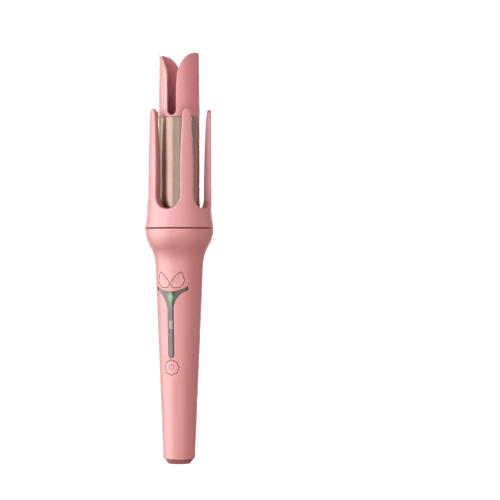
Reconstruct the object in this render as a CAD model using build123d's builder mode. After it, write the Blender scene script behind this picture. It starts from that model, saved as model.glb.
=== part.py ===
from build123d import *
import os
from math import acos, cos, pi, radians, sin, tan

# Automatic hair curler. Millimetres, +Z up, origin at the centre of the base, front of the handle at -Y.
# The handle holds the cell, board and motor. The barrel and forked tip cap are fixed to the chassis tube,
# and a sleeve with five claws turns round them, driven by a pinion inside a ring gear.

# Driving dimensions
shell_wall = 2.0
grip_low = (12.4, 3.2)           # (radius, height) of the grip's lower end
grip_high = (18.6, 148.0)        # where the straight taper ends
swell_points = [(21.2, 160.2), (24.3, 166.3), (26.27, 172.3)]
bulb_top = (26.9, 177.85)
seam_gap = 0.7                   # between the handle and the turning sleeve
parting_gap = 0.06               # half the line between the two casing halves
shell_lip = 0.5

sleeve_bottom_z = bulb_top[1] + seam_gap
sleeve_neck = (25.3, 190.0)
claw_tip_z = 267.9
claw_tip_r = 24.45
claw_count = 5
slot_floor_z = 192.8             # bottom of the U between two claws
slot_half_angle = 23.8           # degrees, where the claws are widest

barrel_r = 16.0
barrel_wall = 0.9
barrel_bottom_z = 191.8
barrel_top_z = 261.9

cup_bottom_z = 262.05
cup_top_z = 311.3
cup_wall = 2.0
cup_floor_z = 263.0
cup_slot_half = 3.5

button_gap = 0.35
window_depth = 1.2

gear_module = 0.6
ring_teeth = 50
pinion_teeth = 20
gear_backlash = 0.1
motor_offset = gear_module * (ring_teeth - pinion_teeth) / 2

flange_z = 169.0
flange_top_z = 171.5
shoulder_z = 181.0               # the sleeve's bearing sits on this step of the chassis tube
tube_low_r = 14.0
tube_high_r = 12.9
tube_top_z = 198.5
screw_ring_r = 21.2

board_front_y = -10.4
board_thickness = 0.8
board_half_width = 6.5


def handle_form(inset, low=grip_low[1], high=bulb_top[1]):
    """Solid of the handle's outside, drawn in by inset, between two heights."""
    with BuildPart() as form:
        with BuildSketch(Plane.XZ):
            with BuildLine():
                foot = (grip_low[0] - inset, grip_low[1])
                waist = (grip_high[0] - inset, grip_high[1])
                rim = (bulb_top[0] - inset, bulb_top[1])
                taper = (waist[0] - foot[0], waist[1] - foot[1])
                Line((0, foot[1]), foot)
                Line(foot, waist)
                swell = [(r - inset, z) for r, z in swell_points]
                Spline(waist, *swell, rim, tangents=[taper, (0, 1)])
                Polyline(rim, (0, rim[1]), (0, foot[1]))
            make_face()
        revolve(axis=Axis.Z)
        if low > grip_low[1] or high < bulb_top[1]:
            with BuildSketch(Plane.XY.offset(low)):
                Circle(40)
            extrude(amount=high - low, mode=Mode.INTERSECT)
    return form.part


def skin(outer_inset, inner_inset, low=grip_low[1], high=bulb_top[1]):
    """Curved layer of the handle between two insets."""
    with BuildPart() as layer:
        add(handle_form(outer_inset, low, high))
        add(handle_form(inner_inset, low, high), mode=Mode.SUBTRACT)
    return layer.part


def front_prism(outline):
    """A front-view outline pushed out to the front of the handle."""
    with BuildPart() as prism:
        with BuildSketch(Plane.XZ):
            add(outline)
        extrude(amount=40)
    return prism.part


def ring(outer, inner, low, high):
    """Plain ring about the long axis."""
    with BuildPart() as body:
        with BuildSketch(Plane.XY.offset(low)):
            Circle(outer)
            if inner:
                Circle(inner, mode=Mode.SUBTRACT)
        extrude(amount=high - low)
    return body.part


def window_outline(inset=0.0):
    """Y shape: a smile-shaped bar over a long round-ended stem."""
    arm_x, arm_top, arm_low = 12.6, 134.7, 131.5
    stem_half, stem_z, smile_z, foot_z = 2.4, 116.5, 130.5, 80.3
    with BuildSketch() as outline:
        with BuildLine():
            ThreePointArc((-arm_x, arm_top), (0, smile_z), (arm_x, arm_top))
            Line((arm_x, arm_top), (arm_x, arm_low))
            right = TangentArc((stem_half, stem_z), (arm_x, arm_low), tangent=(0, 1))
            Line((stem_half, stem_z), (stem_half, foot_z + stem_half))
            ThreePointArc((stem_half, foot_z + stem_half), (0, foot_z), (-stem_half, foot_z + stem_half))
            Line((-stem_half, foot_z + stem_half), (-stem_half, stem_z))
            mirror(right, about=Plane.YZ)
            Line((-arm_x, arm_low), (-arm_x, arm_top))
        make_face()
        if inset:
            offset(amount=-inset)
    return outline.sketch


def leaf_outline(side, grow=0.0):
    """Leaf with a sharp tip at its upper outer end; side is +1 or -1."""
    with BuildSketch() as outline:
        with BuildLine():
            inner = ThreePointArc((8.3 * side, 145.1), (4.0 * side, 141.6), (1.1 * side, 137.3))
            heel = TangentArc(inner @ 1, (2.8 * side, 133.7), tangent=inner % 1)
            belly = TangentArc(heel @ 1, (10.0 * side, 140.3), tangent=heel % 1)
            TangentArc(belly @ 1, inner @ 0, tangent=belly % 1)
        make_face()
        if grow:
            offset(amount=grow)
    return outline.sketch


def flower_outline(grow=0.0):
    """Eight-lobed round outline of the power button."""
    lobes, body_r, lobe_r, lobe_place, centre_z = 8, 5.0, 1.75, 3.85, 73.3
    with BuildSketch() as outline:
        with Locations((0, centre_z)):
            Circle(body_r + grow)
            with PolarLocations(lobe_place, lobes, start_angle=90):
                Circle(lobe_r + grow)
    return outline.sketch


def power_mark():
    """Generic stand-by mark: a broken ring and a bar."""
    mark_r, stroke, centre_z = 2.0, 0.4, 73.3
    with BuildSketch() as mark:
        with Locations((0, centre_z)):
            Circle(mark_r)
            Circle(mark_r - stroke, mode=Mode.SUBTRACT)
            with Locations((0, mark_r)):
                Rectangle(1.6, 2.0, mode=Mode.SUBTRACT)
                Rectangle(stroke, 2.2)
    return mark.sketch


def slot_outline(distance):
    """Outline of the gap between two claws on a plane that stands off the axis by distance."""

    def at(angle, z):
        return (distance * tan(radians(angle)), z)

    u_rise = 10.4
    u_centre_z = slot_floor_z + u_rise
    with BuildSketch(Plane.XZ.offset(distance)) as outline:
        with BuildLine():
            floor = []
            for turn in (30, 60):
                floor.append(at(slot_half_angle * sin(radians(turn)), u_centre_z - u_rise * cos(radians(turn))))
            wall = [at(slot_half_angle, 229), at(25.2, 244), at(27.1, 259.5), at(28.9, 264.6)]
            half_pitch = 180 / claw_count
            start = at(0, slot_floor_z)
            springing = at(slot_half_angle, u_centre_z)
            tip = at(half_pitch, claw_tip_z)
            right = [
                Spline(start, *floor, springing, tangents=[(1, 0), (0, 1)]),
                Line(springing, wall[0]),
                Spline(*wall, tip, tangents=[(0, 1), (1, 0.05)]),
                Polyline(tip, at(half_pitch, 275), at(0, 275)),
            ]
            mirror(right, about=Plane.YZ)
        make_face()
    return outline.sketch


def gear_outline(teeth, tip, root, widen, phase=90.0):
    """Involute-flanked outline; tip and root are in modules, widen in mm at the pitch circle."""
    pitch_r = gear_module * teeth / 2
    base_r = pitch_r * cos(radians(20))
    tip_r = pitch_r + tip * gear_module
    root_r = pitch_r - root * gear_module
    quarter = pi / (2 * teeth) + widen / (2 * pitch_r)

    def roll(r):
        pressure = acos(min(1, base_r / r))
        return tan(pressure) - pressure

    radii = [root_r, pitch_r, tip_r]
    half = [quarter + roll(pitch_r) - roll(r) for r in radii]
    points = []
    for tooth in range(teeth):
        middle = radians(phase) + 2 * pi * tooth / teeth
        for r, a in zip(radii, half):
            points.append((r * cos(middle - a), r * sin(middle - a)))
        for r, a in zip(reversed(radii), reversed(half)):
            points.append((r * cos(middle + a), r * sin(middle + a)))
    with BuildSketch() as outline:
        with BuildLine():
            Polyline(*points, close=True)
        make_face()
    return outline.sketch


def screw(head_r, head_h, shank_r, length):
    """Pan-head screw along -Z with its head's underside at the origin and a cross recess."""
    with BuildPart() as body:
        with BuildSketch():
            Circle(head_r)
        extrude(amount=head_h)
        fillet(body.edges().group_by(Axis.Z)[-1], head_h * 0.4)
        with BuildSketch():
            Circle(shank_r)
        extrude(amount=-length)
        with BuildSketch(Plane.XY.offset(head_h)):
            Rectangle(head_r * 1.1, head_r * 0.3)
            Rectangle(head_r * 0.3, head_r * 1.1)
        extrude(amount=-head_h * 0.5, mode=Mode.SUBTRACT)
    return body.part


def placed(piece, spots):
    """Copies of a piece at each location, as one group of separate solids."""
    return Compound(children=[spot * piece for spot in spots])


os.makedirs("parts", exist_ok=True)


def save(part, name):
    part.label = name
    export_step(part, f"parts/{name}.step")


# Handle casing

shell_screw_spots = [(9.3, 88.0), (-9.3, 88.0), (11.3, 124.0), (-11.3, 124.0)]
board_screw_spots = [(4.7, 85.0), (-4.7, 122.0)]
shell_screw_seat_y = 6.0
ledge_low_z, ledge_high_z, ledge_r = 165.0, flange_z - 0.1, 19.4
flange_screw_angles = [45, 135, 225, 315]

with BuildPart() as casing:
    add(handle_form(0))
    fillet(casing.edges().group_by(Axis.Z)[-1], shell_lip)
    fillet(casing.edges().group_by(Axis.Z)[0], 0.8)
    add(handle_form(shell_wall), mode=Mode.SUBTRACT)
    add(handle_form(1.0, ledge_low_z, ledge_high_z))
    add(ring(ledge_r, 0, ledge_low_z - 1, ledge_high_z + 1), mode=Mode.SUBTRACT)
    with BuildSketch(Plane.XY.offset(ledge_high_z)):
        with PolarLocations(screw_ring_r, 4, start_angle=45):
            Circle(1.05)
    extrude(amount=-3.2, mode=Mode.SUBTRACT)

boss_r, rear_boss_r = 2.0, 3.2
shell_screw_hole_r, head_well_r = 1.25, 2.3
board_pillar_r, board_screw_hole_r = 1.5, 0.85
with BuildPart() as front_shell:
    add(casing.part)
    split(bisect_by=Plane.XZ.offset(parting_gap), keep=Keep.TOP)
    with BuildSketch(Plane.XZ.offset(0.3)):
        with Locations(*shell_screw_spots):
            Circle(boss_r)
    extrude(until=Until.NEXT)
    with BuildSketch(Plane.XZ.offset(-board_front_y + 0.02)):
        with Locations(*board_screw_spots):
            Circle(board_pillar_r)
    extrude(until=Until.NEXT)
    with BuildSketch(Plane.XZ.offset(0)):
        with Locations(*shell_screw_spots):
            Circle(shell_screw_hole_r)
    extrude(amount=6.5, mode=Mode.SUBTRACT)
    with BuildSketch(Plane.XZ.offset(-board_front_y)):
        with Locations(*board_screw_spots):
            Circle(board_screw_hole_r)
    extrude(amount=2.2, mode=Mode.SUBTRACT)
    with BuildPart(mode=Mode.PRIVATE) as window_seat:
        add(skin(-1, window_depth + 0.05))
        add(front_prism(window_outline()), mode=Mode.INTERSECT)
    add(window_seat.part, mode=Mode.SUBTRACT)
    add(front_prism(window_outline(0.6)), mode=Mode.SUBTRACT)
    for side in (1, -1):
        add(front_prism(leaf_outline(side, button_gap)), mode=Mode.SUBTRACT)
    add(front_prism(flower_outline(button_gap)), mode=Mode.SUBTRACT)
save(front_shell.part, "front_shell")

with BuildPart() as rear_shell:
    add(casing.part)
    split(bisect_by=Plane.XZ.offset(-parting_gap), keep=Keep.BOTTOM)
    with BuildPart(mode=Mode.PRIVATE) as rear_bosses:
        add(handle_form(1.0, 80, 130))
        with BuildSketch(Plane.XZ.offset(-0.3)):
            with Locations(*shell_screw_spots):
                Circle(rear_boss_r)
        extrude(amount=-30, mode=Mode.INTERSECT)
    add(rear_bosses.part)
    with BuildSketch(Plane.XZ):
        with Locations(*shell_screw_spots):
            Circle(shell_screw_hole_r)
    extrude(amount=-30, mode=Mode.SUBTRACT)
    with BuildSketch(Plane.XZ.offset(-shell_screw_seat_y)):
        with Locations(*shell_screw_spots):
            Circle(head_well_r)
    extrude(amount=-30, mode=Mode.SUBTRACT)
save(rear_shell.part, "rear_shell")


with BuildPart() as base_cap:
    with BuildSketch(Plane.XZ):
        with BuildLine():
            plug_r, plug_bore_r, plug_top_z, floor_z = 10.05, 8.6, 10.0, 2.2
            foot = [(0, 0), (9.3, 0), (9.6, 0.3), (11.2, 3.0), (plug_r, 3.0), (plug_r, plug_top_z)]
            Polyline(*foot, (plug_bore_r, plug_top_z), (plug_bore_r, floor_z), (0, floor_z), close=True)
        make_face()
    revolve(axis=Axis.Z)
    with BuildSketch():
        SlotOverall(9.3, 3.5)
    extrude(amount=3, mode=Mode.SUBTRACT)
save(base_cap.part, "base_cap")

# Keys

key_flange_grow = 0.65
key_flange_layer = (shell_wall + 0.35, shell_wall + 0.95)
key_back = key_flange_layer[1]


def key(outline, flange, post_x, post_z, post_length):
    """A key: outline through the casing, a flange behind it and a post towards its switch."""
    with BuildPart() as body:
        add(skin(0, key_back, 60, 150))
        add(front_prism(outline), mode=Mode.INTERSECT)
        with BuildPart(mode=Mode.PRIVATE) as collar:
            add(skin(*key_flange_layer, 60, 150))
            add(front_prism(flange), mode=Mode.INTERSECT)
        add(collar.part)
        with BuildSketch(Plane.XZ.offset(-post_tip_y)):
            with Locations((post_x, post_z)):
                Circle(1.1)
        extrude(amount=post_length)
        with BuildSketch(Plane.XZ.offset(-post_tip_y)):
            with Locations((post_x, post_z)):
                Rectangle(30, 30)
        extrude(amount=40, mode=Mode.INTERSECT)
    return body.part


leaf_switch_x, leaf_switch_z, power_switch_z = 4.6, 139.0, 73.3
switch_top_y = board_front_y - 0.85
post_tip_y = switch_top_y - 0.7
for side, name in ((-1, "left_leaf_button"), (1, "right_leaf_button")):
    flange = leaf_outline(side, key_flange_grow)
    leaf_key = key(leaf_outline(side), flange, side * leaf_switch_x, leaf_switch_z, 3.2)
    save(leaf_key, name)

with BuildSketch() as power_tongue:
    with Locations((0, power_switch_z)):
        RectangleRounded(5, 13.4, 0.5)
with BuildPart() as power_button:
    add(key(flower_outline(), power_tongue.sketch, 0, power_switch_z, 1.2))
    with BuildPart(mode=Mode.PRIVATE) as engraving:
        add(skin(-1, 0.3, 60, 90))
        add(front_prism(power_mark()), mode=Mode.INTERSECT)
    add(engraving.part, mode=Mode.SUBTRACT)
save(power_button.part, "power_button")

# Window, light guide and board

with BuildPart() as display_window:
    add(skin(0, window_depth, 70, 150))
    add(front_prism(window_outline(0.04)), mode=Mode.INTERSECT)
save(display_window.part, "display_window")

with BuildPart() as light_guide:
    add(skin(window_depth + 0.1, shell_wall + 0.9, 70, 150))
    add(front_prism(window_outline(0.7)), mode=Mode.INTERSECT)
save(light_guide.part, "light_guide")

board_low_z, board_high_z = 66.0, 146.0
with BuildPart() as main_board:
    with BuildSketch(Plane.XZ.offset(-board_front_y - board_thickness)):
        with Locations((0, (board_low_z + board_high_z) / 2)):
            RectangleRounded(2 * board_half_width, board_high_z - board_low_z, 1)
        with Locations(*board_screw_spots):
            Circle(1.05, mode=Mode.SUBTRACT)
    extrude(amount=board_thickness)
save(main_board.part, "main_board")

board_back_y = board_front_y + board_thickness
chip_sizes = [(0, 92, 7, 7, 0.9), (0, 105, 5, 6, 1.5), (0, 129, 6, 4, 1.6)]
chip_sizes += [(x, 114, 3, 3, 1.2) for x in (-3, 3)]
with BuildPart() as board_chips:
    for x, z, width, tall, thick in chip_sizes:
        with BuildSketch(Plane.XZ.offset(-board_back_y - 0.02)):
            with Locations((x, z)):
                Rectangle(width, tall)
        extrude(amount=-thick)
    with BuildSketch(Plane.XZ.offset(-board_back_y - 0.02)):
        with Locations((0, 138.5)):
            Rectangle(10, 5)
    extrude(amount=-3.4)
save(board_chips.part, "board_chips")

with BuildPart() as tact_switches:
    for x, z in ((leaf_switch_x, leaf_switch_z), (-leaf_switch_x, leaf_switch_z), (0, power_switch_z)):
        with BuildSketch(Plane.XZ.offset(-board_front_y + 0.02)):
            with Locations((x, z)):
                RectangleRounded(3.4, 3.4, 0.3)
        extrude(amount=0.65)
        with BuildSketch(Plane.XZ.offset(-board_front_y + 0.65)):
            with Locations((x, z)):
                Circle(0.9)
        extrude(amount=0.2)
save(tact_switches.part, "tact_switches")

led_spots = [(0, z) for z in range(86, 124, 6)] + [(-5, 130.5), (0, 128), (5, 130.5)]
with BuildPart() as display_leds:
    with BuildSketch(Plane.XZ.offset(-board_front_y + 0.02)):
        with Locations(*led_spots):
            Rectangle(1.0, 1.6)
    extrude(amount=0.7)
save(display_leds.part, "display_leds")

board_screw = screw(1.4, 0.9, 0.75, 2.6)
spots = [Location((x, board_back_y + 0.02, z), (90, 0, 0)) for x, z in board_screw_spots]
save(placed(board_screw, [spot * Rotation(180, 0, 0) for spot in spots]), "board_screws")

shell_screw = screw(1.9, 1.3, 1.1, 10.5)
spots = [Location((x, shell_screw_seat_y + 0.02, z), (-90, 0, 0)) for x, z in shell_screw_spots]
save(placed(shell_screw, spots), "shell_screws")

# Cell and charging

cell_r, cell_low_z, cell_high_z = 9.2, 12.8, 76.6
with BuildPart() as battery_cell:
    with BuildSketch(Plane.XY.offset(cell_low_z)):
        Circle(cell_r)
    extrude(amount=cell_high_z - cell_low_z)
    chamfer(battery_cell.edges().filter_by(GeomType.CIRCLE), 0.4)
    with BuildSketch(Plane.XY.offset(cell_high_z)):
        Circle(2.9)
    extrude(amount=1.0)
save(battery_cell.part, "battery_cell")

with BuildPart() as battery_holder:
    with BuildSketch(Plane.XY.offset(14)):
        Circle(10.25)
        Circle(cell_r + 0.1, mode=Mode.SUBTRACT)
        with Locations((0, -10)):
            Rectangle(30, 14, mode=Mode.SUBTRACT)
    extrude(amount=58)
    with BuildSketch(Plane.XZ):
        with Locations((0, 28), (0, 43), (0, 58)):
            RectangleRounded(9, 9, 2)
    extrude(amount=-20, mode=Mode.SUBTRACT)
save(battery_holder.part, "battery_holder")

with BuildPart() as battery_tabs:
    with BuildSketch(Plane.XY.offset(cell_low_z - 0.3)):
        Circle(4)
    extrude(amount=0.25)
    with BuildSketch(Plane.XY.offset(cell_high_z + 1.05)):
        with Locations((0, 1.5)):
            RectangleRounded(5, 8, 1)
    extrude(amount=0.25)
save(battery_tabs.part, "battery_tabs")

with BuildPart() as usb_port:
    with BuildSketch(Plane.XY.offset(0.5)):
        SlotOverall(8.94, 3.16)
    extrude(amount=7.3)
    with BuildSketch(Plane.XY.offset(0.5)):
        SlotOverall(8.34, 2.56)
    extrude(amount=6.2, mode=Mode.SUBTRACT)
    with BuildSketch(Plane.XY.offset(1.4)):
        Rectangle(6.6, 0.7)
    extrude(amount=5.5)
save(usb_port.part, "usb_port")

with BuildPart() as charge_board:
    with BuildSketch(Plane.XZ.offset(-1.62)):
        with Locations((0, 7.2)):
            Rectangle(14.4, 8.8)
    extrude(amount=-1.0)
    with BuildSketch(Plane.XZ.offset(-2.62)):
        with Locations((-3, 7.5), (3.2, 7.0)):
            Rectangle(3.5, 3.5)
    extrude(amount=-0.9)
save(charge_board.part, "charge_board")

# Chassis, motor and gears

lead_x, lead_y = 3.0, -1.5
motor_screw_x = 4.5
with BuildPart() as chassis:
    with BuildSketch(Plane.XY.offset(flange_z)):
        Circle(22.6)
        with Locations((0, lead_y)):
            SlotOverall(11, 4.5, mode=Mode.SUBTRACT)
        with Locations((0, motor_offset)):
            Circle(2.2, mode=Mode.SUBTRACT)
        with Locations((motor_screw_x, motor_offset), (-motor_screw_x, motor_offset)):
            Circle(0.9, mode=Mode.SUBTRACT)
        with PolarLocations(screw_ring_r, 4, start_angle=45):
            Circle(1.1, mode=Mode.SUBTRACT)
    extrude(amount=flange_top_z - flange_z)
    add(ring(tube_low_r, 11.6, flange_top_z - 0.1, shoulder_z))
    add(ring(tube_high_r, 10.9, shoulder_z, tube_top_z))
    with BuildSketch(Plane.XY.offset(flange_top_z)):
        with Locations((0, motor_offset)):
            Circle(7.1)
    extrude(amount=7.0, mode=Mode.SUBTRACT)
    add(ring(tube_high_r + 1, tube_high_r - 0.6, 189.15, 189.95), mode=Mode.SUBTRACT)
save(chassis.part, "chassis")

chassis_screw = screw(1.9, 1.3, 1.0, 5.6)
spots = [Rot(0, 0, a) * Pos(screw_ring_r, 0, flange_top_z + 0.02) for a in flange_screw_angles]
save(placed(chassis_screw, spots), "chassis_screws")

motor_width, motor_depth, motor_length, shaft_r = 12.0, 10.0, 24.0, 1.5
with BuildPart() as gear_motor:
    with BuildSketch(Plane.XY.offset(flange_z - 0.02)):
        with Locations((0, motor_offset)):
            RectangleRounded(motor_width, motor_depth, 0.6)
    extrude(amount=-9)
    with BuildSketch(Plane.XY.offset(flange_z - 9)):
        with Locations((0, motor_offset)):
            Circle(6)
            Rectangle(motor_width + 1, motor_depth, mode=Mode.INTERSECT)
    extrude(amount=-(motor_length - 9))
    with BuildSketch(Plane.XY.offset(flange_z)):
        with Locations((0, motor_offset)):
            Circle(shaft_r + 0.05)
            with Locations((motor_screw_x, 0), (-motor_screw_x, 0)):
                Circle(0.82)
    extrude(amount=-4.5, mode=Mode.SUBTRACT)
    with BuildSketch(Plane.XY.offset(flange_z - motor_length)):
        with Locations((3.2, motor_offset), (-3.2, motor_offset)):
            Rectangle(1.6, 0.5)
    extrude(amount=-1.8)
save(gear_motor.part, "gear_motor")

motor_screw = screw(1.35, 0.8, 0.78, 6.0)
spots = [Pos(x, motor_offset, flange_top_z + 0.02) for x in (motor_screw_x, -motor_screw_x)]
save(placed(motor_screw, spots), "motor_screws")

pinion_low_z, pinion_high_z = 172.9, 177.9
with BuildPart() as motor_shaft:
    with BuildSketch(Plane.XY.offset(flange_z - 4.3)):
        with Locations((0, motor_offset)):
            Circle(shaft_r)
    extrude(amount=pinion_high_z + 0.4 - flange_z + 4.3)
save(motor_shaft.part, "motor_shaft")

with BuildPart() as motor_pinion:
    with BuildSketch(Plane(origin=(0, motor_offset, pinion_low_z))):
        add(gear_outline(pinion_teeth, 0.95, 1.2, -gear_backlash))
        Circle(shaft_r + 0.01, mode=Mode.SUBTRACT)
    extrude(amount=pinion_high_z - pinion_low_z)
save(motor_pinion.part, "motor_pinion")

gear_flange_low_z, gear_flange_high_z = 178.9, 181.15
magnet_r, magnet_place = 1.5, 20.8
claw_angles = [270 + (k + 0.5) * 360 / claw_count for k in range(claw_count)]
with BuildPart() as ring_gear:
    add(ring(18.2, 14.5, 172.9, gear_flange_high_z))
    add(ring(23.7, 14.5, gear_flange_low_z, gear_flange_high_z))
    add(ring(15.6, 0, gear_flange_high_z - 1.2, gear_flange_high_z + 1), mode=Mode.SUBTRACT)
    with BuildSketch(Plane.XY.offset(172.9)):
        add(gear_outline(ring_teeth, 1.25, 0.9, gear_backlash))
    extrude(amount=5.4, mode=Mode.SUBTRACT)
    with BuildSketch(Plane.XY.offset(gear_flange_low_z)):
        for angle in claw_angles:
            with Locations(Rot(0, 0, angle) * Pos(screw_ring_r, 0, 0)):
                Circle(1.1)
    extrude(amount=5, mode=Mode.SUBTRACT)
    with BuildSketch(Plane.XY.offset(gear_flange_low_z)):
        for angle in claw_angles:
            with Locations(Rot(0, 0, angle) * Pos(screw_ring_r, 0, 0)):
                Circle(1.85)
        with Locations((0, -magnet_place)):
            Circle(magnet_r + 0.05)
    extrude(amount=1.2, mode=Mode.SUBTRACT)
save(ring_gear.part, "ring_gear")

with BuildPart() as home_magnet:
    with BuildSketch(Plane.XY.offset(gear_flange_low_z + 0.02)):
        with Locations((0, -magnet_place)):
            Circle(magnet_r)
    extrude(amount=1.15)
save(home_magnet.part, "home_magnet")

gear_screw = Rot(180, 0, 0) * screw(1.7, 1.0, 1.0, 3.8)
spots = [Rot(0, 0, a) * Pos(screw_ring_r, 0, gear_flange_low_z + 1.18) for a in claw_angles]
save(placed(gear_screw, spots), "ring_gear_screws")

with BuildPart() as hall_sensor_board:
    with BuildSketch(Plane.XY.offset(flange_top_z + 0.02)):
        with Locations((0, -magnet_place)):
            Rectangle(5, 0.8)
    extrude(amount=5.6)
    with BuildSketch(Plane.XY.offset(174.6)):
        with Locations((0, -magnet_place + 0.8)):
            Rectangle(3, 0.9)
    extrude(amount=2.0)
save(hall_sensor_board.part, "hall_sensor_board")


# The seal's flange lies on the casing's rim and closes the gap below the turning sleeve.
seal_bore_r, seal_rest_z = 22.6, bulb_top[1] + 0.02
with BuildPart() as dust_seal:
    add(ring(24.25, seal_bore_r, 175.0, seal_rest_z + 0.1))
    add(ring(26.1, seal_bore_r, seal_rest_z, sleeve_bottom_z - 0.16))
save(dust_seal.part, "dust_seal")

save(ring(15.2, 13.0, shoulder_z + 0.02, 181.55), "thrust_washer")
save(ring(15.2, 13.0, 188.75, 189.13), "top_washer")
with BuildPart() as retaining_ring:
    with BuildSketch(Plane.XY.offset(189.17)):
        Circle(14.4)
        Circle(tube_high_r - 0.55, mode=Mode.SUBTRACT)
        with Locations((0, 15)):
            Rectangle(8, 10, mode=Mode.SUBTRACT)
    extrude(amount=0.75)
save(retaining_ring.part, "retaining_ring")

# Turning sleeve

web_low_z, web_high_z, hub_top_z, hub_r, bush_r = 181.2, 184.8, 188.6, 18.0, 15.5
skirt_bore_r = 24.0
save(ring(bush_r, tube_high_r + 0.05, 181.65, hub_top_z), "sleeve_bush")

with BuildPart() as claw_sleeve:
    with BuildSketch(Plane.XZ):
        with BuildLine():
            skirt = (26.85, sleeve_bottom_z)
            Spline(skirt, (26.5, 181.5), (25.82, 185.4), sleeve_neck, tangents=[(-0.02, 1), (-0.006, 1)])
            Line(sleeve_neck, (claw_tip_r, claw_tip_z))
            Line((claw_tip_r, claw_tip_z), (21.5, claw_tip_z))
            Spline((21.5, claw_tip_z), (20.8, 260), (20.1, 244), (19.65, 229), (19.3, web_high_z + 1))
            Polyline(
                (19.3, web_high_z + 1), (19.3, web_high_z), (hub_r, web_high_z), (hub_r, hub_top_z),
                (bush_r + 0.02, hub_top_z), (bush_r + 0.02, web_low_z),
                (skirt_bore_r, web_low_z), (skirt_bore_r, sleeve_bottom_z), skirt
            )
        make_face()
    revolve(axis=Axis.Z)
    rim = claw_sleeve.edges().filter_by(GeomType.CIRCLE).sort_by(Axis.Z)[:2].sort_by(SortBy.RADIUS)[-1]
    fillet(rim, shell_lip)
    with BuildSketch(Plane.XY.offset(web_low_z)):
        for angle in claw_angles:
            with Locations(Rot(0, 0, angle) * Pos(screw_ring_r, 0, 0)):
                Circle(1.05)
    extrude(amount=3.0, mode=Mode.SUBTRACT)
    with BuildPart(mode=Mode.PRIVATE) as gap:
        loft([slot_outline(9).faces()[0], slot_outline(36).faces()[0]], ruled=True)
    for k in range(claw_count):
        add(Rot(0, 0, k * 360 / claw_count) * gap.part, mode=Mode.SUBTRACT)
save(claw_sleeve.part, "claw_sleeve")

# Barrel and heater

bore_r = barrel_r - barrel_wall
with BuildPart() as barrel_tube:
    add(ring(barrel_r, bore_r, barrel_bottom_z, barrel_top_z))
    rims = barrel_tube.edges().filter_by(GeomType.CIRCLE).filter_by(lambda e: e.radius > bore_r + 0.1)
    fillet(rims, 0.3)
save(barrel_tube.part, "barrel_tube")

with BuildPart() as insulator_collar:
    add(ring(bore_r - 0.05, tube_high_r + 0.03, 190.4, 199.0))
    add(ring(15.9, tube_high_r + 0.03, 190.4, barrel_bottom_z - 0.05))
save(insulator_collar.part, "insulator_collar")

stack_low_z, stack_high_z, plate_half = 201.0, 250.0, 2.5
for side, name in ((-1, "heat_spreader_front"), (1, "heat_spreader_rear")):
    with BuildPart() as spreader:
        with BuildSketch(Plane.XY.offset(stack_low_z)):
            Circle(bore_r - 0.05)
            with Locations((0, side * (plate_half + 0.1 - 20))):
                Rectangle(60, 40, mode=Mode.SUBTRACT)
        extrude(amount=stack_high_z - stack_low_z)
        with BuildSketch(Plane.XY.offset(stack_high_z)):
            with Locations((0, side * 8)):
                Circle(2.1 if side < 0 else 1.15)
        extrude(amount=-10, mode=Mode.SUBTRACT)
    save(spreader.part, name)

with BuildPart() as heater_plate:
    with BuildSketch(Plane.XY.offset(stack_low_z + 2)):
        RectangleRounded(17, 2 * plate_half, 0.5)
    extrude(amount=stack_high_z - stack_low_z - 4)
save(heater_plate.part, "heater_plate")

with BuildPart() as heater_springs:
    crest, steps, thick = 2.1, 6, 0.35
    for side in (-1, 1):
        with BuildSketch(Plane.YZ.offset(side * 11.5 - 1.5)):
            with BuildLine():
                heights = [stack_low_z + 4 + k * 6.8 for k in range(steps + 1)]
                wave = [((crest if k % 2 else -crest), z) for k, z in enumerate(heights)]
                back = [(y + thick, z) for y, z in reversed(wave)]
                Polyline(*wave, *back, close=True)
            make_face()
        extrude(amount=3)
save(heater_springs.part, "heater_springs")

with BuildPart() as thermistor:
    with BuildSketch(Plane.XY.offset(241)):
        with Locations((0, 8)):
            Circle(1.05)
    extrude(amount=4)
    with BuildSketch(Plane.XY.offset(245)):
        with Locations((0.5, 8), (-0.5, 8)):
            Circle(0.25)
    extrude(amount=6)
save(thermistor.part, "thermistor")

with BuildPart() as thermal_fuse:
    with BuildSketch(Plane.XY.offset(240.5)):
        with Locations((0, -8)):
            Circle(2.0)
    extrude(amount=9)
    chamfer(thermal_fuse.edges().filter_by(GeomType.CIRCLE), 0.3)
    with BuildSketch(Plane.XY.offset(249.5)):
        with Locations((0, -8)):
            Circle(0.4)
    extrude(amount=1.5)
save(thermal_fuse.part, "thermal_fuse")

lead_end_y = -8.0
with BuildPart() as heater_leads:
    for side in (-1, 1):
        x = side * lead_x
        with BuildLine() as route:
            bends = [(x, lead_y, 160), (x, lead_end_y, 151)]
            FilletPolyline((x, lead_y, stack_low_z + 1.95), *bends, (x, lead_end_y, 141.2), radius=4)
        with BuildSketch(Plane(origin=route.line @ 0, z_dir=route.line % 0)):
            Circle(0.6)
        sweep(path=route.line)
save(heater_leads.part, "heater_leads")

# Tip

plug_low_z, plug_high_z, spigot_low_z = 252.0, 256.3, 256.5
save(ring(bore_r - 0.04, 1.55, plug_low_z, plug_high_z), "tip_plug")


def cup_profile(inset):
    """Radius and height points of the tip cap's outside, drawn in by inset."""
    return [(r - inset, z) for r, z in ((15.95, cup_bottom_z), (15.85, 276), (15.6, 291), (15.4, cup_top_z))]


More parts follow.
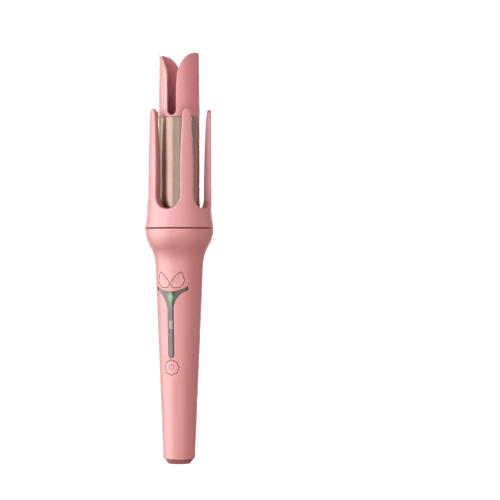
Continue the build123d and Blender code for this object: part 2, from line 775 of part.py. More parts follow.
with BuildPart() as tip_cap:
    with BuildSketch(Plane.XZ):
        with BuildLine():
            outside = cup_profile(0)
            Spline(*outside)
            Polyline(outside[-1], (0, cup_top_z), (0, spigot_low_z), (bore_r - 0.05, spigot_low_z),
                     (bore_r - 0.05, cup_bottom_z), outside[0])
        make_face()
    revolve(axis=Axis.Z)
    fillet(tip_cap.edges().group_by(Axis.Z)[-1], 0.8)
    with BuildSketch(Plane.XZ):
        with BuildLine():
            inside = [(r, max(z, cup_floor_z)) for r, z in cup_profile(cup_wall)]
            Spline(*inside)
            above_z = cup_top_z + 1
            Polyline(inside[-1], (inside[-1][0], above_z), (0, above_z), (0, cup_floor_z), inside[0])
        make_face()
    revolve(axis=Axis.Z, mode=Mode.SUBTRACT)
    with BuildSketch(Plane.XZ):
        with BuildLine():
            low_z = 263.3 + cup_slot_half
            flare = [(cup_slot_half, 276), (3.8, 288), (4.8, 297)]
            flare += [(8.2, 304.7), (12.0, 309.1), (17.0, 312.6)]
            right = [
                Line((cup_slot_half, low_z), flare[0]),
                Spline(*flare, tangents=[(0, 1), (1, 0.7)]),
                Line(flare[-1], (0, flare[-1][1])),
            ]
            mirror(right, about=Plane.YZ)
            ThreePointArc((cup_slot_half, low_z), (0, 263.3), (-cup_slot_half, low_z))
        make_face()
    extrude(amount=20, both=True, mode=Mode.SUBTRACT)
    with BuildSketch(Plane.XY.offset(cup_floor_z)):
        Circle(3.2)
    extrude(amount=-2.8, mode=Mode.SUBTRACT)
    with BuildSketch(Plane.XY.offset(cup_floor_z)):
        Circle(1.6)
    extrude(amount=-8, mode=Mode.SUBTRACT)
save(tip_cap.part, "tip_cap")

tip_screw = Pos(0, 0, cup_floor_z - 2.78) * screw(2.8, 1.8, 1.45, 7.5)
save(tip_screw, "tip_screw")
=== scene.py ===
import math

import bmesh
import bpy
import numpy as np
from mathutils import Matrix, Vector
from mathutils.geometry import delaunay_2d_cdt


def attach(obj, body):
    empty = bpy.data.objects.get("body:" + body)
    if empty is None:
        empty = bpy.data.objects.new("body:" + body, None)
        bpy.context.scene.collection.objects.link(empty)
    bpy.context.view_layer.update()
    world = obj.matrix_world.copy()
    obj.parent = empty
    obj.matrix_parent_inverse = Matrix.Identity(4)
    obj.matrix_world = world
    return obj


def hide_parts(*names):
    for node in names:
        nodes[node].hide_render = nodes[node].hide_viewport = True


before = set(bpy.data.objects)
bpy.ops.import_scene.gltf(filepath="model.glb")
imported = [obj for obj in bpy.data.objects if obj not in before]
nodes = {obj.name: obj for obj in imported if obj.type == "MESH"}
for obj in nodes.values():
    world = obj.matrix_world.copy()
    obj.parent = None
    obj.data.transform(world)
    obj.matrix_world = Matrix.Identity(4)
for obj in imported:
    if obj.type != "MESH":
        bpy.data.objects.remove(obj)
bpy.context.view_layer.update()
print("stage: frame loaded,", len(nodes), "nodes")

mm = 0.001
lipRows = 4  # steps in every rounded edge


# outlines and curves, all in millimetres

def smoothCurve(points, perSpan=8):  # Catmull-Rom through the points
    ends = [tuple(2 * a - b for a, b in zip(points[0], points[1]))]
    tail = [tuple(2 * a - b for a, b in zip(points[-1], points[-2]))]
    run = ends + list(points) + tail
    out = []
    for k in range(1, len(run) - 2):
        for s in range(perSpan):
            t = s / perSpan
            out.append(tuple(
                0.5 * (2 * p1 + (p2 - p0) * t + (2 * p0 - 5 * p1 + 4 * p2 - p3) * t * t
                       + (3 * p1 - p0 - 3 * p2 + p3) * t ** 3)
                for p0, p1, p2, p3 in zip(run[k - 1], run[k], run[k + 1], run[k + 2])))
    return out + [tuple(points[-1])]


def profileRadius(points):  # radius as a smooth function of height, from (radius, height) points
    heights = np.array([p[1] for p in points], float)
    radii = np.array([p[0] for p in points], float)
    slopes = np.gradient(radii, heights)
    slopes[0] = (radii[1] - radii[0]) / (heights[1] - heights[0])
    slopes[-1] = (radii[-1] - radii[-2]) / (heights[-1] - heights[-2])

    def radius(z):
        z = min(max(z, heights[0]), heights[-1])
        k = min(int(np.searchsorted(heights, z, side="right")) - 1, len(heights) - 2)
        step = heights[k + 1] - heights[k]
        t = (z - heights[k]) / step
        return float(radii[k] * (2 * t ** 3 - 3 * t * t + 1) + radii[k + 1] * (3 * t * t - 2 * t ** 3)
                     + slopes[k] * step * (t ** 3 - 2 * t * t + t) + slopes[k + 1] * step * (t ** 3 - t * t))
    return radius


def spread(points, step, closed=True):  # even points along a polyline, corners kept
    out = []
    count = len(points) if closed else len(points) - 1
    for k in range(count):
        a, b = points[k], points[(k + 1) % len(points)]
        pieces = max(1, round(math.dist(a, b) / step))
        out += [(a[0] + (b[0] - a[0]) * s / pieces, a[1] + (b[1] - a[1]) * s / pieces) for s in range(pieces)]
    return out if closed else out + [points[-1]]


def arcPoints(centre, radius, fromDeg, toDeg, steps):
    turns = [math.radians(fromDeg + (toDeg - fromDeg) * k / steps) for k in range(steps + 1)]
    return [(centre[0] + radius * math.cos(a), centre[1] + radius * math.sin(a)) for a in turns]


def signedArea(loop):
    return 0.5 * sum(a[0] * b[1] - b[0] * a[1] for a, b in zip(loop, loop[1:] + loop[:1]))


def offsetLoop(loop, moves):  # every edge moves to its left by its own amount
    out = []
    count = len(loop)
    for k in range(count):
        p, before, after = loop[k], loop[k - 1], loop[(k + 1) % count]
        e1 = np.array([p[0] - before[0], p[1] - before[1]])
        e2 = np.array([after[0] - p[0], after[1] - p[1]])
        e1, e2 = e1 / np.linalg.norm(e1), e2 / np.linalg.norm(e2)
        n1, n2 = np.array([-e1[1], e1[0]]), np.array([-e2[1], e2[0]])
        d1, d2 = moves[k - 1], moves[k]
        cross = e1[0] * e2[1] - e1[1] * e2[0]
        if abs(cross) < 0.2:
            bend = n1 + n2
            shift = bend / np.linalg.norm(bend) * (d1 + d2) / 2
        else:
            shift = (e2 * d1 - e1 * d2) / cross
            limit = 3 * max(abs(d1), abs(d2))
            if np.linalg.norm(shift) > limit:
                shift *= limit / np.linalg.norm(shift)
        out.append((p[0] + shift[0], p[1] + shift[1]))
    return out


def insideLoop(points, loop):  # even-odd test of many points at once
    x, y = points[:, 0], points[:, 1]
    inside = np.zeros(len(points), bool)
    for a, b in zip(loop, loop[1:] + loop[:1]):
        if a[1] == b[1]:
            continue
        crosses = (a[1] > y) != (b[1] > y)
        inside ^= crosses & (x < (b[0] - a[0]) * (y - a[1]) / (b[1] - a[1]) + a[0])
    return inside


def fillLoops(loops, spacing):  # triangles between an outer loop and its holes, with a grid inside
    verts = [p for loop in loops for p in loop]
    edges, start = [], 0
    for loop in loops:
        edges += [(start + k, start + (k + 1) % len(loop)) for k in range(len(loop))]
        start += len(loop)
    outer = np.array(loops[0])
    lo, hi = outer.min(0), outer.max(0)
    rows = np.arange(lo[1] + spacing[1] / 2, hi[1], spacing[1])
    cols = np.arange(lo[0] + spacing[0] / 2, hi[0], spacing[0])
    grid = np.array([(c + (r % 2) * spacing[0] / 2, row) for r, row in enumerate(rows) for c in cols])
    if len(grid):
        keep = insideLoop(grid, loops[0])
        for hole in loops[1:]:
            keep &= ~insideLoop(grid, hole)
        grid = grid[keep]
        border = np.array(verts)
        near = np.array([np.min(np.sum((border - g) ** 2, 1)) for g in grid]) if len(grid) else np.zeros(0)
        grid = grid[near > (0.45 * min(spacing)) ** 2] if len(grid) else grid
    count = len(verts)
    everything = [Vector(p) for p in verts] + [Vector(g) for g in grid]
    coords, _, faces, origin, _, _ = delaunay_2d_cdt(everything, edges, [], 0, 1e-6)
    place = {}
    for k, sources in enumerate(origin):
        for s in sources:
            place[s] = k
    flat = np.array([(c.x, c.y) for c in coords])
    middles = np.array([flat[list(f)].mean(0) for f in faces])
    keep = insideLoop(middles, loops[0])
    for hole in loops[1:]:
        keep &= ~insideLoop(middles, hole)
    faces = [list(f) for f, k in zip(faces, keep) if k]
    faces = [f if signedArea([tuple(flat[i]) for i in f]) > 0 else f[::-1] for f in faces]
    return flat, faces, [place[k] for k in range(count)]


# a thick skin with rounded edges: outer face, inner face, and the walls between

def thickSkin(bm, loops, outerAt, innerAt, spacing, turn=Matrix.Identity(4), engraved=(), innerSpacing=None):
    def vert(p):
        return bm.verts.new(turn @ Vector((p[0] * mm, p[1] * mm, p[2] * mm)))

    def side(wanted, key, lipKey, at, flip, grid):
        shrunk = []
        for k, loop in enumerate(wanted):
            points = loop.get(key) or loop["points"]
            assert signedArea(points) * (1 if k == 0 else -1) > 0, "loop runs the wrong way"
            shrunk.append(offsetLoop(points, loop.get(lipKey, loop["lips"])))
        flat, faces, place = fillLoops(shrunk, grid)
        made = [vert(at(u, v, 0)) for u, v in flat]
        for f in faces:
            bm.faces.new([made[i] for i in (f[::-1] if flip else f)])
        rims, start = [], 0
        for loop in wanted:
            points, lips = loop.get(key) or loop["points"], loop.get(lipKey, loop["lips"])
            count = len(points)
            ring = [made[place[start + k]] for k in range(count)]
            start += count
            atVert = [max(lips[k - 1], lips[k]) for k in range(count)]
            for row in range(1, lipRows + 1):
                a = math.pi / 2 * row / lipRows
                line = points
                if row < lipRows:
                    line = offsetLoop(points, [lip * (1 - math.sin(a)) for lip in lips])
                nxt = [vert(at(u, v, atVert[k] * (1 - math.cos(a)))) if atVert[k] > 0 else ring[k]
                       for k, (u, v) in enumerate(line)]
                for k in range(count):
                    j = (k + 1) % count
                    if lips[k] > 0:
                        quad = [ring[j], ring[k], nxt[k], nxt[j]]
                        bm.faces.new(quad[::-1] if flip else quad)
                ring = nxt
            rims.append(ring)
        return rims

    outerRims = side([*loops, *engraved], "points", "lips", outerAt, False, spacing)
    innerRims = side(loops, "innerPoints", "innerLips", innerAt, True, innerSpacing or spacing)
    for loop, outer, inner in zip(loops, outerRims, innerRims):
        count = len(outer)
        via = loop.get("via", {})
        walls = loop.get("walls") or [lip > 0 for lip in loop["lips"]]
        steps = {k: [vert(p) for p in points] for k, points in via.items()}
        for k in range(count):
            j = (k + 1) % count
            if not walls[k]:
                continue
            between = (steps.get(k, []), steps.get(j, [])) if k in steps and j in steps else ([], [])
            one, two = [outer[k], *between[0], inner[k]], [outer[j], *between[1], inner[j]]
            for a, b, c, d in zip(two, one, one[1:], two[1:]):
                bm.faces.new([a, b, c, d])
    for loop, rim in zip(engraved, outerRims[len(loops):]):
        flat, faces, place = fillLoops([loop["points"][::-1]], spacing)
        low = [vert(outerAt(u, v, loop["deep"])) for u, v in flat]
        for f in faces:
            bm.faces.new([low[i] for i in f])
        count = len(rim)
        foot = [low[place[count - 1 - k]] for k in range(count)]
        for k in range(count):
            j = (k + 1) % count
            bm.faces.new([rim[j], rim[k], foot[k], foot[j]])


def finishMesh(bm, name, material, body, replaced, sharp=38, weld=0.002):
    bmesh.ops.remove_doubles(bm, verts=bm.verts, dist=weld * mm)
    loose = [v for v in bm.verts if not v.link_faces]
    bmesh.ops.delete(bm, geom=loose, context="VERTS")
    mesh = bpy.data.meshes.new(name)
    bm.to_mesh(mesh)
    bm.free()
    mesh.shade_smooth()
    mesh.set_sharp_from_angle(angle=math.radians(sharp))
    piece = bpy.data.objects.new(name, mesh)
    bpy.context.scene.collection.objects.link(piece)
    mesh.materials.append(material)
    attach(piece, body)
    if replaced:
        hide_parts(*replaced)
    return piece


def lathe(bm, profile, turns=128, capStart=False, capEnd=False):  # (radius, height) points turned about Z
    rings = []
    for r, z in profile:
        if r < 1e-6:
            rings.append([bm.verts.new((0, 0, z * mm))] * turns)
        else:
            rings.append([bm.verts.new((x * mm, y * mm, z * mm))
                          for x, y in arcPoints((0, 0), r, 0, 360, turns)[:-1]])
    for a, b in zip(rings, rings[1:]):
        for k in range(turns):
            j = (k + 1) % turns
            corners = []
            for v in (a[k], a[j], b[j], b[k]):
                if v not in corners:
                    corners.append(v)
            if len(corners) > 2:
                bm.faces.new(corners)


def roundedProfile(corners, steps=5):  # (radius, height, rounding) corners to a smooth profile
    out = []
    count = len(corners)
    for k, (r, z, rounding) in enumerate(corners):
        if rounding == 0 or k in (0, count - 1):
            out.append((r, z))
            continue
        p, a, b = Vector((r, z)), Vector(corners[k - 1][:2]), Vector(corners[k + 1][:2])
        d1, d2 = (a - p).normalized(), (b - p).normalized()
        half = d1.angle(d2) / 2
        centre = p + (d1 + d2).normalized() * (rounding / math.sin(half))
        reach = rounding / math.tan(half)
        first, last = p + d1 * reach - centre, p + d2 * reach - centre
        swing = math.pi - 2 * half
        turn = 1 if first.x * last.y - first.y * last.x > 0 else -1
        for t in range(steps + 1):
            a = turn * swing * t / steps
            out.append((centre.x + first.x * math.cos(a) - first.y * math.sin(a),
                        centre.y + first.x * math.sin(a) + first.y * math.cos(a)))
    return out


# materials

def linear(r, g, b):  # screen colour, 0 to 255, as the shader wants it
    return tuple(((c / 255 + 0.055) / 1.055) ** 2.4 if c > 10 else c / 255 / 12.92 for c in (r, g, b)) + (1,)


def socketGroup(name, inputs, outputs):
    group = bpy.data.node_groups.new(name, "ShaderNodeTree")
    for label, kind, value in inputs:
        made = group.interface.new_socket(name=label, in_out="INPUT", socket_type="NodeSocket" + kind)
        made.default_value = value
    for label, kind in outputs:
        group.interface.new_socket(name=label, in_out="OUTPUT", socket_type="NodeSocket" + kind)
    return group, group.nodes.new("NodeGroupInput"), group.nodes.new("NodeGroupOutput")


def link(tree, source, target):
    tree.links.new(source, target)


def mathNode(tree, operation, a, b=None, clamp=False):
    node = tree.nodes.new("ShaderNodeMath")
    node.operation, node.use_clamp = operation, clamp
    for socket, value in zip(node.inputs, (a, b)):
        if value is None:
            continue
        if isinstance(value, (int, float)):
            socket.default_value = value
        else:
            link(tree, value, socket)
    return node.outputs[0]


def objectPlace(tree):
    return tree.nodes.new("ShaderNodeTexCoord").outputs["Object"]


def setSockets(node, **values):
    for label, value in values.items():
        node.inputs[label.replace("_", " ")].default_value = value


def noiseNode(tree, coords, scale, detail=2.0, roughness=0.5):
    node = tree.nodes.new("ShaderNodeTexNoise")
    setSockets(node, Scale=scale, Detail=detail, Roughness=roughness)
    link(tree, coords, node.inputs["Vector"])
    return node.outputs["Fac"]


def mixColour(tree, factor, a, b, blend="MIX"):
    node = tree.nodes.new("ShaderNodeMix")
    node.data_type, node.blend_type = "RGBA", blend
    for socket, value in ((node.inputs["Factor"], factor), (node.inputs["A"], a), (node.inputs["B"], b)):
        if isinstance(value, (int, float, tuple)):
            socket.default_value = value
        else:
            link(tree, value, socket)
    return node.outputs["Result"]


def remap(tree, value, lowIn, highIn, lowOut, highOut):
    node = tree.nodes.new("ShaderNodeMapRange")
    for label, v in (("From Min", lowIn), ("From Max", highIn), ("To Min", lowOut), ("To Max", highOut)):
        if isinstance(v, (int, float)):
            node.inputs[label].default_value = v
        else:
            link(tree, v, node.inputs[label])
    link(tree, value, node.inputs["Value"])
    return node.outputs["Result"]


def makeMouldedGrain():  # fine spark-eroded texture and slow colour drift of moulded plastic
    group, given, out = socketGroup(
        "mouldedGrain",
        [("Base", "Color", (0.8, 0.5, 0.5, 1)), ("Drift", "Float", 0.05), ("Grain Size", "Float", 2600.0),
         ("Roughness", "Float", 0.4), ("Roughness Spread", "Float", 0.08)],
        [("Color", "Color"), ("Roughness", "Float"), ("Height", "Float")])
    coords = objectPlace(group)
    slow = noiseNode(group, coords, 38.0, 3.0)
    fine = group.nodes.new("ShaderNodeTexNoise")
    fine.inputs["Detail"].default_value = 2.0
    link(group, coords, fine.inputs["Vector"])
    link(group, given.outputs["Grain Size"], fine.inputs["Scale"])
    darker = mixColour(group, 1.0, given.outputs["Base"], (0.80, 0.74, 0.74, 1), "MULTIPLY")
    amount = mathNode(group, "MULTIPLY", mathNode(group, "SUBTRACT", slow, 0.35, clamp=True), 4.0, clamp=True)
    amount = mathNode(group, "MULTIPLY", amount, given.outputs["Drift"])
    link(group, mixColour(group, amount, given.outputs["Base"], darker), out.inputs["Color"])
    wave = mathNode(group, "SUBTRACT", noiseNode(group, coords, 160.0, 4.0), 0.5)
    wave = mathNode(group, "MULTIPLY", wave, given.outputs["Roughness Spread"])
    link(group, mathNode(group, "ADD", given.outputs["Roughness"], wave, clamp=True), out.inputs["Roughness"])
    link(group, fine.outputs["Fac"], out.inputs["Height"])
    return group


def makeEdgeWear():  # lighter, smoother rub along convex edges
    group, given, out = socketGroup(
        "edgeWear",
        [("Color", "Color", (0.8, 0.5, 0.5, 1)), ("Worn", "Color", (0.95, 0.8, 0.8, 1)),
         ("Amount", "Float", 0.4), ("Roughness", "Float", 0.4), ("Worn Roughness", "Float", 0.3)],
        [("Color", "Color"), ("Roughness", "Float"), ("Mask", "Float")])
    geometry = group.nodes.new("ShaderNodeNewGeometry")
    coords = objectPlace(group)
    edge = remap(group, geometry.outputs["Pointiness"], 0.505, 0.56, 0.0, 1.0)
    broken = remap(group, noiseNode(group, coords, 420.0, 4.0, 0.6), 0.35, 0.65, 0.3, 1.0)
    rubbed = mathNode(group, "MULTIPLY", edge, broken)
    mask = mathNode(group, "MULTIPLY", rubbed, given.outputs["Amount"], clamp=True)
    link(group, mask, out.inputs["Mask"])
    link(group, mixColour(group, mask, given.outputs["Color"], given.outputs["Worn"]), out.inputs["Color"])
    rough = group.nodes.new("ShaderNodeMix")
    link(group, mask, rough.inputs["Factor"])
    link(group, given.outputs["Roughness"], rough.inputs["A"])
    link(group, given.outputs["Worn Roughness"], rough.inputs["B"])
    link(group, rough.outputs["Result"], out.inputs["Roughness"])
    return group


def makeFineDust():  # pale specks in scattered patches
    group, given, out = socketGroup(
        "fineDust",
        [("Color", "Color", (0.8, 0.5, 0.5, 1)), ("Dust", "Color", (0.85, 0.82, 0.8, 1)),
         ("Amount", "Float", 0.1)],
        [("Color", "Color"), ("Mask", "Float")])
    coords = objectPlace(group)
    specks = remap(group, noiseNode(group, coords, 900.0, 6.0, 0.7), 0.62, 0.75, 0.0, 1.0)
    patches = remap(group, noiseNode(group, coords, 60.0, 2.0), 0.45, 0.7, 0.0, 1.0)
    settled = mathNode(group, "MULTIPLY", specks, patches)
    mask = mathNode(group, "MULTIPLY", settled, given.outputs["Amount"], clamp=True)
    link(group, mask, out.inputs["Mask"])
    link(group, mixColour(group, mask, given.outputs["Color"], given.outputs["Dust"]), out.inputs["Color"])
    return group


def makePaintedShade():  # painted shade: an ambient-occlusion mask darkens gaps, wells and inner faces towards the plastic's deep colour
    group, given, out = socketGroup(
        "paintedShade",
        [("Color", "Color", (0.8, 0.5, 0.5, 1)), ("Deep", "Color", (0.2, 0.02, 0.02, 1)),
         ("Reach", "Float", 0.003), ("Open", "Float", 0.97), ("Shut", "Float", 0.5)],
        [("Color", "Color"), ("Mask", "Float")])
    occlusion = group.nodes.new("ShaderNodeAmbientOcclusion")
    occlusion.samples = 12
    link(group, given.outputs["Reach"], occlusion.inputs["Distance"])
    mask = remap(group, occlusion.outputs["AO"], given.outputs["Shut"], given.outputs["Open"], 1.0, 0.0)
    link(group, mask, out.inputs["Mask"])
    link(group, mixColour(group, mask, given.outputs["Color"], given.outputs["Deep"]), out.inputs["Color"])
    return group


mouldedGrain = makeMouldedGrain()
paintedShade = makePaintedShade()
edgeWear = makeEdgeWear()
fineDust = makeFineDust()


def placeGroup(tree, group, **values):
    node = tree.nodes.new("ShaderNodeGroup")
    node.node_tree = group
    for label, value in values.items():
        socket = node.inputs[label.replace("_", " ")]
        if isinstance(value, (int, float, tuple)):
            socket.default_value = value
        else:
            link(tree, value, socket)
    return node


def addBump(tree, shader, height, strength, distance):
    bump = tree.nodes.new("ShaderNodeBump")
    setSockets(bump, Strength=strength, Distance=distance)
    link(tree, height, bump.inputs["Height"])
    link(tree, bump.outputs["Normal"], shader.inputs["Normal"])
    return bump


def newMaterial(name):
    material = bpy.data.materials.new(name)
    material.use_nodes = True
    return material, material.node_tree, material.node_tree.nodes["Principled BSDF"]


def mouldedPlastic(name, colour, roughness=0.46, drift=0.12, grain=0.10, wear=0.3, dust=0.05,
                   gloss=0.85, ior=1.85, reach=0.0025, deep=0.22):
    material, tree, shader = newMaterial(name)
    base = placeGroup(tree, mouldedGrain, Base=colour, Drift=drift, Roughness=roughness)
    pale = tuple(min(1, c * 1.2 + 0.04) for c in colour[:3]) + (1,)
    worn = placeGroup(tree, edgeWear, Color=base.outputs["Color"], Worn=pale, Amount=wear,
                      Roughness=base.outputs["Roughness"], Worn_Roughness=roughness * 0.8)
    dusty = placeGroup(tree, fineDust, Color=worn.outputs["Color"], Amount=dust)
    # deep and reach set the painted shade: how dark it gets and how far the occlusion darkening reaches
    paintedShadeColour = (colour[0] * deep, colour[1] * deep * 0.5, colour[2] * deep * 0.5, 1)
    shaded = placeGroup(tree, paintedShade, Color=dusty.outputs["Color"], Deep=paintedShadeColour, Reach=reach)
    link(tree, shaded.outputs["Color"], shader.inputs["Base Color"])
    link(tree, worn.outputs["Roughness"], shader.inputs["Roughness"])
    setSockets(shader, Specular_IOR_Level=gloss, IOR=ior)
    addBump(tree, shader, base.outputs["Height"], grain, 0.00004)
    return material


def brushedMetal(name, colour, roughness=0.28, along="Z", stretch=60.0, scratch=0.12, anisotropy=0.4):
    material, tree, shader = newMaterial(name)
    coords = objectPlace(tree)
    mapping = tree.nodes.new("ShaderNodeMapping")
    scale = [2600.0] * 3
    scale["XYZ".index(along)] = stretch
    mapping.inputs["Scale"].default_value = scale
    link(tree, coords, mapping.inputs["Vector"])
    hair = noiseNode(tree, mapping.outputs["Vector"], 1.0, 3.0, 0.6)
    smear = noiseNode(tree, coords, 70.0, 3.0)
    dark = tuple(c * 0.86 for c in colour[:3]) + (1,)
    smeared = mixColour(tree, remap(tree, smear, 0.3, 0.7, 0, 0.35), colour, dark)
    worn = placeGroup(tree, edgeWear, Color=smeared,
                      Worn=tuple(min(1, c * 1.2) for c in colour[:3]) + (1,), Amount=0.4,
                      Roughness=remap(tree, hair, 0.2, 0.8, roughness - scratch / 2, roughness + scratch / 2),
                      Worn_Roughness=roughness * 0.7)
    link(tree, worn.outputs["Color"], shader.inputs["Base Color"])
    link(tree, worn.outputs["Roughness"], shader.inputs["Roughness"])
    setSockets(shader, Metallic=1.0, Anisotropic=anisotropy)
    addBump(tree, shader, hair, 0.06, 0.00002)
    return material


casingColours = {  # moulded and metal finishes that the pieces below use
    "handle": (0.72, 0.205, 0.195, 1),
    "sleeve": (0.72, 0.215, 0.225, 1),
    "tipCap": (0.74, 0.20, 0.205, 1),
    "base": (0.50, 0.105, 0.10, 1),
    "keys": (0.76, 0.225, 0.215, 1),
    "barrel": (0.86, 0.61, 0.51, 1),
}
handleRose = mouldedPlastic("handleRose", casingColours["handle"])
# the sleeve and the tip get a wider, darker painted shade on their inner faces and in their gaps
sleeveRose = mouldedPlastic("sleeveRose", casingColours["sleeve"], reach=0.02, deep=0.30)
tipRose = mouldedPlastic("tipRose", casingColours["tipCap"], roughness=0.5, reach=0.02, deep=0.42)
baseRose = mouldedPlastic("baseRose", casingColours["base"], roughness=0.4)
keyRose = mouldedPlastic("keyRose", casingColours["keys"], roughness=0.4, wear=0.2)
barrelMetal = brushedMetal("barrelMetal", casingColours["barrel"], roughness=0.30, anisotropy=0.0)
print("stage: main materials made")


# handle casing

handle = {
    "footR": 12.4, "footZ": 3.2, "waistR": 18.6, "waistZ": 148.0,
    "swell": [(19.25, 154.1), (21.2, 160.2), (24.3, 166.3), (26.27, 172.3)],
    "rimR": 26.9, "rimZ": 177.85,
    "wall": 2.0, "rimLip": 0.55, "footLip": 0.9, "partingLip": 0.14, "partingGap": 0.06,
    "windowLip": 0.22, "ledge": 0.6, "ledgeDeep": 1.25, "keyLip": 0.22, "grid": (1.3, 1.9), "unrollR": 17.0,
}
taperSlope = (handle["waistR"] - handle["footR"]) / (handle["waistZ"] - handle["footZ"])
swellRadius = profileRadius([
    (handle["waistR"] - taperSlope * 6, handle["waistZ"] - 6), (handle["waistR"], handle["waistZ"]),
    *handle["swell"], (handle["rimR"], handle["rimZ"])])


def handleRadius(z):
    if z < handle["waistZ"]:
        return handle["footR"] + taperSlope * (z - handle["footZ"])
    return swellRadius(z)


def onHandle(u, z, depth):  # unrolled place to a point on the casing's front
    slope = (handleRadius(z + 0.2) - handleRadius(z - 0.2)) / 0.4
    size = math.hypot(1, slope)
    r, h = handleRadius(z) - depth / size, z + depth * slope / size
    a = u / handle["unrollR"]
    return (r * math.sin(a), -r * math.cos(a), h)


def insideHandle(u, z, depth):
    return onHandle(u, z, handle["wall"] - depth)


def unroll(points, inset=0.0):  # front view (x, z) to the unrolled casing, at a depth under its surface
    return [(handle["unrollR"] * math.asin(x / (handleRadius(z) - inset)), z) for x, z in points]


windowShape = {"armX": 12.6, "armTop": 134.7, "armLow": 131.5, "stemHalf": 2.4, "stemTop": 116.5,
               "smileZ": 130.5, "footZ": 80.3}
leafShape = {"tip": (8.3, 145.1), "bulge": (4.0, 141.6), "heel": (1.1, 137.3), "toe": (2.8, 133.7),
             "belly": (10.0, 140.3)}
flowerShape = {"lobes": 8, "bodyR": 5.0, "lobeR": 1.75, "lobePlace": 3.85, "z": 73.3}


def threePointArc(a, b, c, steps):
    ax, ay, bx, by, cx, cy = *a, *b, *c
    d = 2 * (ax * (by - cy) + bx * (cy - ay) + cx * (ay - by))
    aa, bb, cc = ax * ax + ay * ay, bx * bx + by * by, cx * cx + cy * cy
    ux = (aa * (by - cy) + bb * (cy - ay) + cc * (ay - by)) / d
    uy = (aa * (cx - bx) + bb * (ax - cx) + cc * (bx - ax)) / d
    r = math.hypot(ax - ux, ay - uy)
    start, middle, end = (math.atan2(p[1] - uy, p[0] - ux) for p in (a, b, c))
    turn = (end - start) % (2 * math.pi)
    if (middle - start) % (2 * math.pi) > turn:
        turn -= 2 * math.pi
    return [(ux + r * math.cos(start + turn * k / steps), uy + r * math.sin(start + turn * k / steps))
            for k in range(steps + 1)]


def tangentArc(a, heading, c, steps):  # leaves a along heading and ends at c
    h = Vector(heading).normalized()
    n = Vector((-h.y, h.x))
    chord = Vector(c) - Vector(a)
    r = chord.length_squared / (2 * chord.dot(n))
    centre = Vector(a) + n * r
    start = math.atan2(a[1] - centre.y, a[0] - centre.x)
    end = math.atan2(c[1] - centre.y, c[0] - centre.x)
    turn = (end - start) % (2 * math.pi) if r > 0 else -((start - end) % (2 * math.pi))
    points = arcPoints(centre, abs(r), math.degrees(start), math.degrees(start + turn), steps)
    last = Vector(points[-1]) - Vector(points[-2])
    return points, last


def windowOutline():
    w = windowShape
    lower, _ = tangentArc((w["stemHalf"], w["stemTop"]), (0, 1), (w["armX"], w["armLow"]), 22)
    foot = arcPoints((0, w["footZ"] + w["stemHalf"]), w["stemHalf"], 180, 360, 14)
    top = threePointArc((w["armX"], w["armTop"]), (0, w["smileZ"]), (-w["armX"], w["armTop"]), 34)
    stem = spread([foot[-1], lower[0]], 1.6, closed=False)
    left = [(-x, z) for x, z in lower[::-1]]
    down = spread([left[-1], foot[0]], 1.6, closed=False)
    arm = spread([lower[-1], top[0]], 0.6, closed=False)
    farArm = spread([top[-1], left[0]], 0.6, closed=False)
    return foot[:-1] + stem[:-1] + lower[:-1] + arm[:-1] + top[:-1] + farArm[:-1] + left[:-1] + down[:-1]


def leafOutline(sign):
    s = leafShape
    inner = threePointArc(s["tip"], s["bulge"], s["heel"], 18)
    leave = (inner[-1][0] - inner[-2][0], inner[-1][1] - inner[-2][1])
    heel, leave = tangentArc(s["heel"], leave, s["toe"], 8)
    belly, leave = tangentArc(s["toe"], leave, s["belly"], 16)
    last, _ = tangentArc(s["belly"], leave, s["tip"], 9)
    loop = inner[:-1] + heel[:-1] + belly[:-1] + last[:-1]
    loop = [(sign * x, z) for x, z in loop]
    return loop if signedArea(loop) > 0 else loop[::-1]


def flowerOutline(grow=0.0, steps=96):
    f = flowerShape
    out = []
    for k in range(steps):
        a = 2 * math.pi * k / steps + math.pi / 2
        off = (a - math.pi / 2 + math.pi / f["lobes"]) % (2 * math.pi / f["lobes"]) - math.pi / f["lobes"]
        lobe = f["lobeR"] + grow
        across = f["lobePlace"] * math.sin(off)
        reach = f["lobePlace"] * math.cos(off) + math.sqrt(max(0, lobe * lobe - across * across))
        r = max(f["bodyR"] + grow, reach)
        out.append((r * math.cos(a), f["z"] + r * math.sin(a)))
    return out


def roundGrown(loop, amount):  # grows evenly, with no spike at a sharp tip
    out = []
    for p, before, after in zip(loop, loop[-1:] + loop[:-1], loop[1:] + loop[:1]):
        e1, e2 = Vector(p) - Vector(before), Vector(after) - Vector(p)
        n = (Vector((e1.y, -e1.x)).normalized() + Vector((e2.y, -e2.x)).normalized()).normalized()
        out.append((p[0] + n.x * amount, p[1] + n.y * amount))
    return out


def frontPoint(x, z, depth):  # a place on the front of the casing, seen from the front
    r = handleRadius(z) - depth
    return (x, -math.sqrt(max(0.0, r * r - x * x)), z)


def holeIn(outline, lip, ledge=0.0, ledgeDepth=0.0):  # a hole with walls parallel to a key's travel
    around = outline[::-1]
    behind = (offsetLoop(outline, [ledge] * len(outline)) if ledge else outline)[::-1]
    hole = {"points": unroll(around), "innerPoints": unroll(behind, handle["wall"]),
            "lips": [lip] * len(around), "innerLips": [0.0] * len(around)}
    if ledge:
        hole["via"] = {k: [frontPoint(*around[k], ledgeDepth), frontPoint(*behind[k], ledgeDepth)]
                       for k in range(len(around))}
    return hole


def screwWell(x, z, well):  # a counterbored hole with its boss inside the casing
    def circle(r):
        return arcPoints((x, z), r, 360, 0, well["steps"])[:-1]

    head, boss = circle(well["headR"]), circle(well["bossR"])
    seat, foot = -well["seat"], -well["end"]
    via = {}
    for k, (h, s, b) in enumerate(zip(head, circle(well["shankR"]), boss)):
        via[k] = [(h[0], seat, h[1]), (s[0], seat, s[1]), (s[0], foot, s[1]), (b[0], foot, b[1])]
    return {"points": unroll(head), "innerPoints": unroll(boss, handle["wall"]), "via": via,
            "lips": [well["lip"]] * len(head), "innerLips": [0.0] * len(head)}


